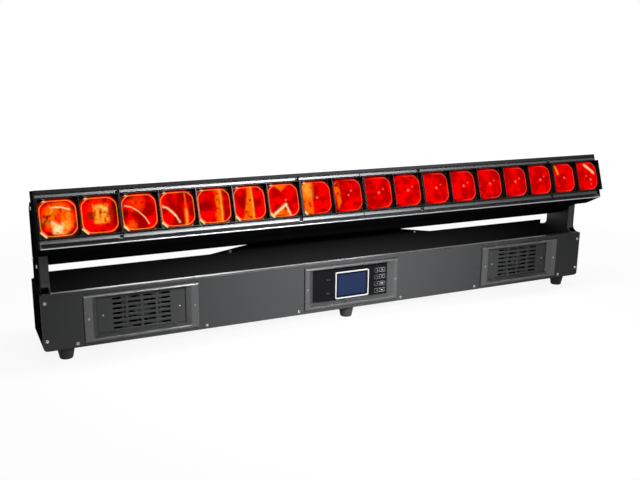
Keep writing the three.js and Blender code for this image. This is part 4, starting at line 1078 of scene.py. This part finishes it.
# %% Feet
def add_feet(side):
    """A front and a rear foot, and the strip between them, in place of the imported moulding."""
    low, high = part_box(f"rubber_feet_{side}")
    centre_x = (low.x + high.x) / 2
    cone = turned(foot_profile(high.z))
    cones = [cone + (centre_x, y, 0) for y in (low.y + foot_top, high.y - foot_top)]
    feet = add_piece(f"feet_{side}", cones, "base", "foot_rubber")
    smooth(feet)
    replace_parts(feet, f"rubber_feet_{side}")
    rows = strip_rows(low.y + strip_start, high.y - strip_start, high.z)
    add_piece(f"foot_strip_{side}", [stack_outlines(rows, (centre_x, 0, 0))], "base", "foot_rubber")
    print(f"feet {side}, mm apart:", round((high.y - low.y - 2 * foot_top) / mm, 1))


for side in ("left", "middle", "right"):
    add_feet(side)

# %% [markdown]
# ## Printed marks
# The menu panel and its keys carry thin print: an outline round each key, a plain mark on it, and
# short bars beside the two lamps. Print could be painted by a material, but a raised skin of ink a
# few hundredths of a millimetre thick is closer to screen printing, and it stays sharp from close
# by. Every mark is a flat outline with a thickness. The white frame round the screen is made the
# same way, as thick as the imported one.

# %% Ink shapes
ink = 0.06 * mm


def rounded_outline(half_width, half_height, radius):
    """A quarter circle at each corner, each turned by a right angle from the one before."""
    angle = np.arange(4)[:, None] * np.pi / 2 + np.linspace(0, np.pi / 2, 6)
    signs = np.array([(1, 1), (-1, 1), (-1, -1), (1, -1)])
    middles = signs * (half_width - radius, half_height - radius)
    return (circle_points(angle, radius) + middles[:, None]).reshape(-1, 2)


def polygon(sides, size, start_degrees=90.0):
    """Points evenly round a circle, as (across, up)."""
    turns = np.linspace(0, 2 * np.pi, sides, endpoint=False)
    return circle_points(np.radians(start_degrees) + turns, size)


def ink_plate(outline, centre, y):
    """A flat shape facing -Y: middle, outline, outline again one ink's depth back, and middle."""
    middle = middle_of(outline)
    rows = [(middle, -ink), (outline, -ink), (outline, 0.0), (middle, 0.0)]
    return stack_outlines(rows, (centre[0], y, centre[1]))


def ink_ring(half_width, half_height, radius, width, centre, y, depth=ink):
    """A rounded frame: outer and inner outline, front and back, joined into a closed band."""
    outer = rounded_outline(half_width, half_height, radius)
    inner = rounded_outline(half_width - width, half_height - width, radius - width)
    rows = [(outer, 0.0), (outer, -depth), (inner, -depth), (inner, 0.0), (outer, 0.0)]
    return stack_outlines(rows, (centre[0], y, centre[1]))


print("points round a rounded outline:", len(rounded_outline(3, 2, 1)))

# %% Frame round the screen
screen_ring_radius = 3.0 * mm
screen_ring_width = 2.0 * mm


def add_screen_ring():
    """The white frame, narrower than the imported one, so that a dark line shows inside it."""
    centre, half = middle_and_half("screen_frame")
    ring = ink_ring(half.x, half.z, screen_ring_radius, screen_ring_width, (centre.x, centre.z),
                    centre.y + half.y, half.y * 2)
    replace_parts(add_piece("screen_ring", [ring], "base", "white_print"), "screen_frame")
    print("screen frame, mm:", round(half.x * 2 / mm, 1), "x", round(half.z * 2 / mm, 1))


add_screen_ring()

# %% Marks on the keys
key_marks = [
    polygon(3, 1.5 * mm),
    polygon(3, 1.5 * mm, -90.0),
    rounded_outline(2.8 * mm, 0.7 * mm, 0.4 * mm),
    rounded_outline(2.0 * mm, 0.6 * mm, 0.4 * mm),
]
key_dot = polygon(20, 0.7 * mm)
mark_shift = 4.2 * mm
dot_shift = -4.6 * mm
outline_inset = 0.4 * mm


def add_key_marks(index, mark):
    """An outline round the key, a framed mark on its right half and a dot on its left half."""
    centre, half = middle_and_half(f"key_{index}")
    x, face, z = centre.x, centre.y - half.y, centre.z
    grids = [
        ink_plate(mark, (x + mark_shift, z), face),
        ink_plate(key_dot, (x + dot_shift, z), face),
        ink_ring(half.x - outline_inset, half.z - outline_inset, 2.0 * mm, 0.2 * mm, (x, z), face),
        ink_ring(5.0 * mm, 2.9 * mm, 1.0 * mm, 0.14 * mm, (x + mark_shift, z), face),
    ]
    add_piece(f"key_mark_{index}", grids, f"key_{index}", "white_print")


for index, mark in enumerate(key_marks, 1):
    add_key_marks(index, mark)
print("keys with marks:", len(key_marks))

# %% Marks beside the lamps
label = rounded_outline(3.4 * mm, 0.8 * mm, 0.4 * mm)
label_heights = (panel_foot + 52.0 * mm, panel_foot + 28.3 * mm)
label_grids = [ink_plate(label, (lamp_x, height), menu_front) for height in label_heights]
add_piece("lamp_labels", label_grids, "base", "foot_rubber")
print("lamp labels:", len(label_grids))

# %% [markdown]
# ## Rear sockets
# A power or data socket is a round well with contacts standing in it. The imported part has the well,
# so this adds what is inside: pins with round ends, and a raised ring round the mouth. Both are
# profiles turned about the socket's own axis.

# %% Profiles and sizes of the sockets
def pin_profile(radius, length):
    """A round-ended pin: radius and height from its tip to its foot."""
    tip = circle_points(np.linspace(np.pi / 2, 0, 6), radius) + (0.0, length - radius)
    return [*tip, (radius, 0.0), (0.0, 0.0)]


def ring_profile(inner, outer, height):
    """A band with cut edges: up its inner side, across its face, and down its outer side."""
    edge = 0.4 * mm
    return [(inner, 0), (inner, height - edge), (inner + edge, height), (outer - edge, height),
            (outer, height - edge), (outer, 0), (inner, 0)]


socket_low, socket_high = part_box("power_sockets")
socket_face = socket_high.y
socket_z = (socket_low.z + socket_high.z) / 2
socket_recess = 8.0 * mm
ring_width = 2.0 * mm
ring_height = 1.2 * mm
pin_length = 6.0 * mm
screw_reach = 11.5 * mm
socket_kinds = {
    "power": {"centres": (60 * mm, 104 * mm), "mouth": 10.0 * mm, "pins": 3, "circle": 5.0 * mm,
              "pin_radius": 1.6 * mm},
    "data": {"centres": (-60 * mm, -98 * mm), "mouth": 8.5 * mm, "pins": 5, "circle": 4.6 * mm,
             "pin_radius": 0.8 * mm},
}
print("face of the sockets, mm:", round(socket_face / mm, 1))

# %% Rings and pins
def add_socket_details(kind, centres, mouth, pins, circle, pin_radius):
    """A ring round each mouth, and pins evenly round a circle with the first at the top."""
    axes = facing(back)
    ring = turned(ring_profile(mouth, mouth + ring_width, ring_height)) @ axes
    pin = turned(pin_profile(pin_radius, pin_length), 20) @ axes
    turns = 2 * np.pi * np.arange(pins) / pins + np.pi / 2
    rings = [ring + (x, socket_face, socket_z) for x in centres]
    contacts = [pin + (x + across, socket_face - socket_recess, socket_z + up)
                for x in centres for across, up in circle_points(turns, circle)]
    smooth(add_piece(f"{kind}_socket_rings", rings, "base", "black_plastic"))
    smooth(add_piece(f"{kind}_socket_pins", contacts, "base", "bearing_steel"))
    print(f"{kind} sockets: {len(rings)}, pins: {len(contacts)}")


for kind, sizes in socket_kinds.items():
    add_socket_details(kind, **sizes)

# %% Screws at the sockets' outer corners
socket_corners = []
for sizes in socket_kinds.values():
    for x in sizes["centres"]:
        outward = screw_reach if x == max(sizes["centres"]) else -screw_reach
        socket_corners += [(x + outward, socket_z + upward) for upward in (-screw_reach, screw_reach)]
add_screws("socket_screws", at_depth(socket_corners, socket_face), back, 1.8 * mm, 0.9 * mm)

# %% [markdown]
# ## Floor and light
# The floor is a pale plane. Light Path lets a material tell a camera ray from a light ray: to the
# camera, and in gloss and glass, the floor adds a glow that carries it to white, while its own
# diffuse part keeps the object's shadow. The world does the same for the background. A wide lamp
# above and one behind give soft light, a small one with a narrow beam falls on the base's front,
# and a weak one stands at the left end.

# %% Floor
floor_reach = 6.0
floor_colour = (0.05, 0.05, 0.05, 1)
glow_distances = (0.7, 1.5)
glow_levels = (0.9, 1.0)


def seen_directly(tree):
    """One for camera, glossy and transmission rays, and zero for light that bounces."""
    rays = add_node(tree, "LightPath").outputs
    gloss = math_node(tree, "ADD", rays["Is Camera Ray"], rays["Is Glossy Ray"])
    return math_node(tree, "ADD", gloss, rays["Is Transmission Ray"], clamp=True)


def make_floor():
    """A square plane. Its glow grows with the distance from the origin until it is white."""
    mesh = bpy.data.meshes.new("floor")
    corners = [(x * floor_reach, y * floor_reach, 0) for x, y in ((-1, -1), (1, -1), (1, 1), (-1, 1))]
    mesh.from_pydata(corners, [], [(0, 1, 2, 3)])
    material = bpy.data.materials.new("pale_floor")
    material.use_nodes = True
    tree = material.node_tree
    shader = tree.nodes["Principled BSDF"]
    wire_all(tree, shader, {"Base Color": floor_colour, "Roughness": 1.0, "Specular IOR Level": 0.0})
    distance = add_node(tree, "VectorMath", {0: object_place(tree)}, operation="LENGTH")
    level = ramp_node(tree, distance.outputs["Value"], *glow_distances, *glow_levels)
    strength = math_node(tree, "MULTIPLY", seen_directly(tree), level)
    glow = add_node(tree, "Emission", {"Strength": strength})
    both = add_node(tree, "AddShader", {0: shader.outputs[0], 1: glow.outputs[0]})
    wire(tree, both.outputs[0], tree.nodes["Material Output"].inputs["Surface"])
    mesh.materials.append(material)
    add_object("floor", mesh)
    print("floor, metres:", 2 * floor_reach)


make_floor()

# %% World
ambient = 0.06
white = (1, 1, 1, 1)


def make_world():
    """White where it is seen, and a dim even light where it only shines on things."""
    world = bpy.data.worlds.new("studio")
    scene.world = world
    world.use_nodes = True
    tree = world.node_tree
    strength = ramp_node(tree, seen_directly(tree), 0.0, 1.0, ambient, 1.0)
    wire_all(tree, tree.nodes["Background"], {"Color": white, "Strength": strength})


make_world()
print("ambient level:", ambient)

# %% Lamps
def add_lamp(name, place, aim, size, power, spread=180.0):
    """A rectangular lamp of so many watts that looks from its place to its aim."""
    data = bpy.data.lights.new(name, "AREA")
    data.shape = "RECTANGLE"
    data.size, data.size_y = size
    data.energy = power
    data.spread = np.radians(spread)
    lamp = add_object(name, data)
    lamp.location = place
    lamp.rotation_euler = (Vector(aim) - Vector(place)).to_track_quat("-Z", "Y").to_euler()
    print(f"{name}: {power} W")


add_lamp("key_lamp", (0.15, -1.1, 0.75), (-0.03, 0.0, 0.06), (0.3, 0.3), 3.1, 46.0)
add_lamp("top_lamp", (0.1, -0.24, 1.4), (0.1, -0.12, 0.1), (1.9, 0.3), 44.0)
add_lamp("back_lamp", (0.5, 1.9, 0.45), (0.0, 0.0, 0.1), (1.2, 0.4), 24.0)
add_lamp("side_lamp", (-1.2, -0.9, 0.5), (-0.4, 0.0, 0.1), (0.15, 0.6), 0.6)
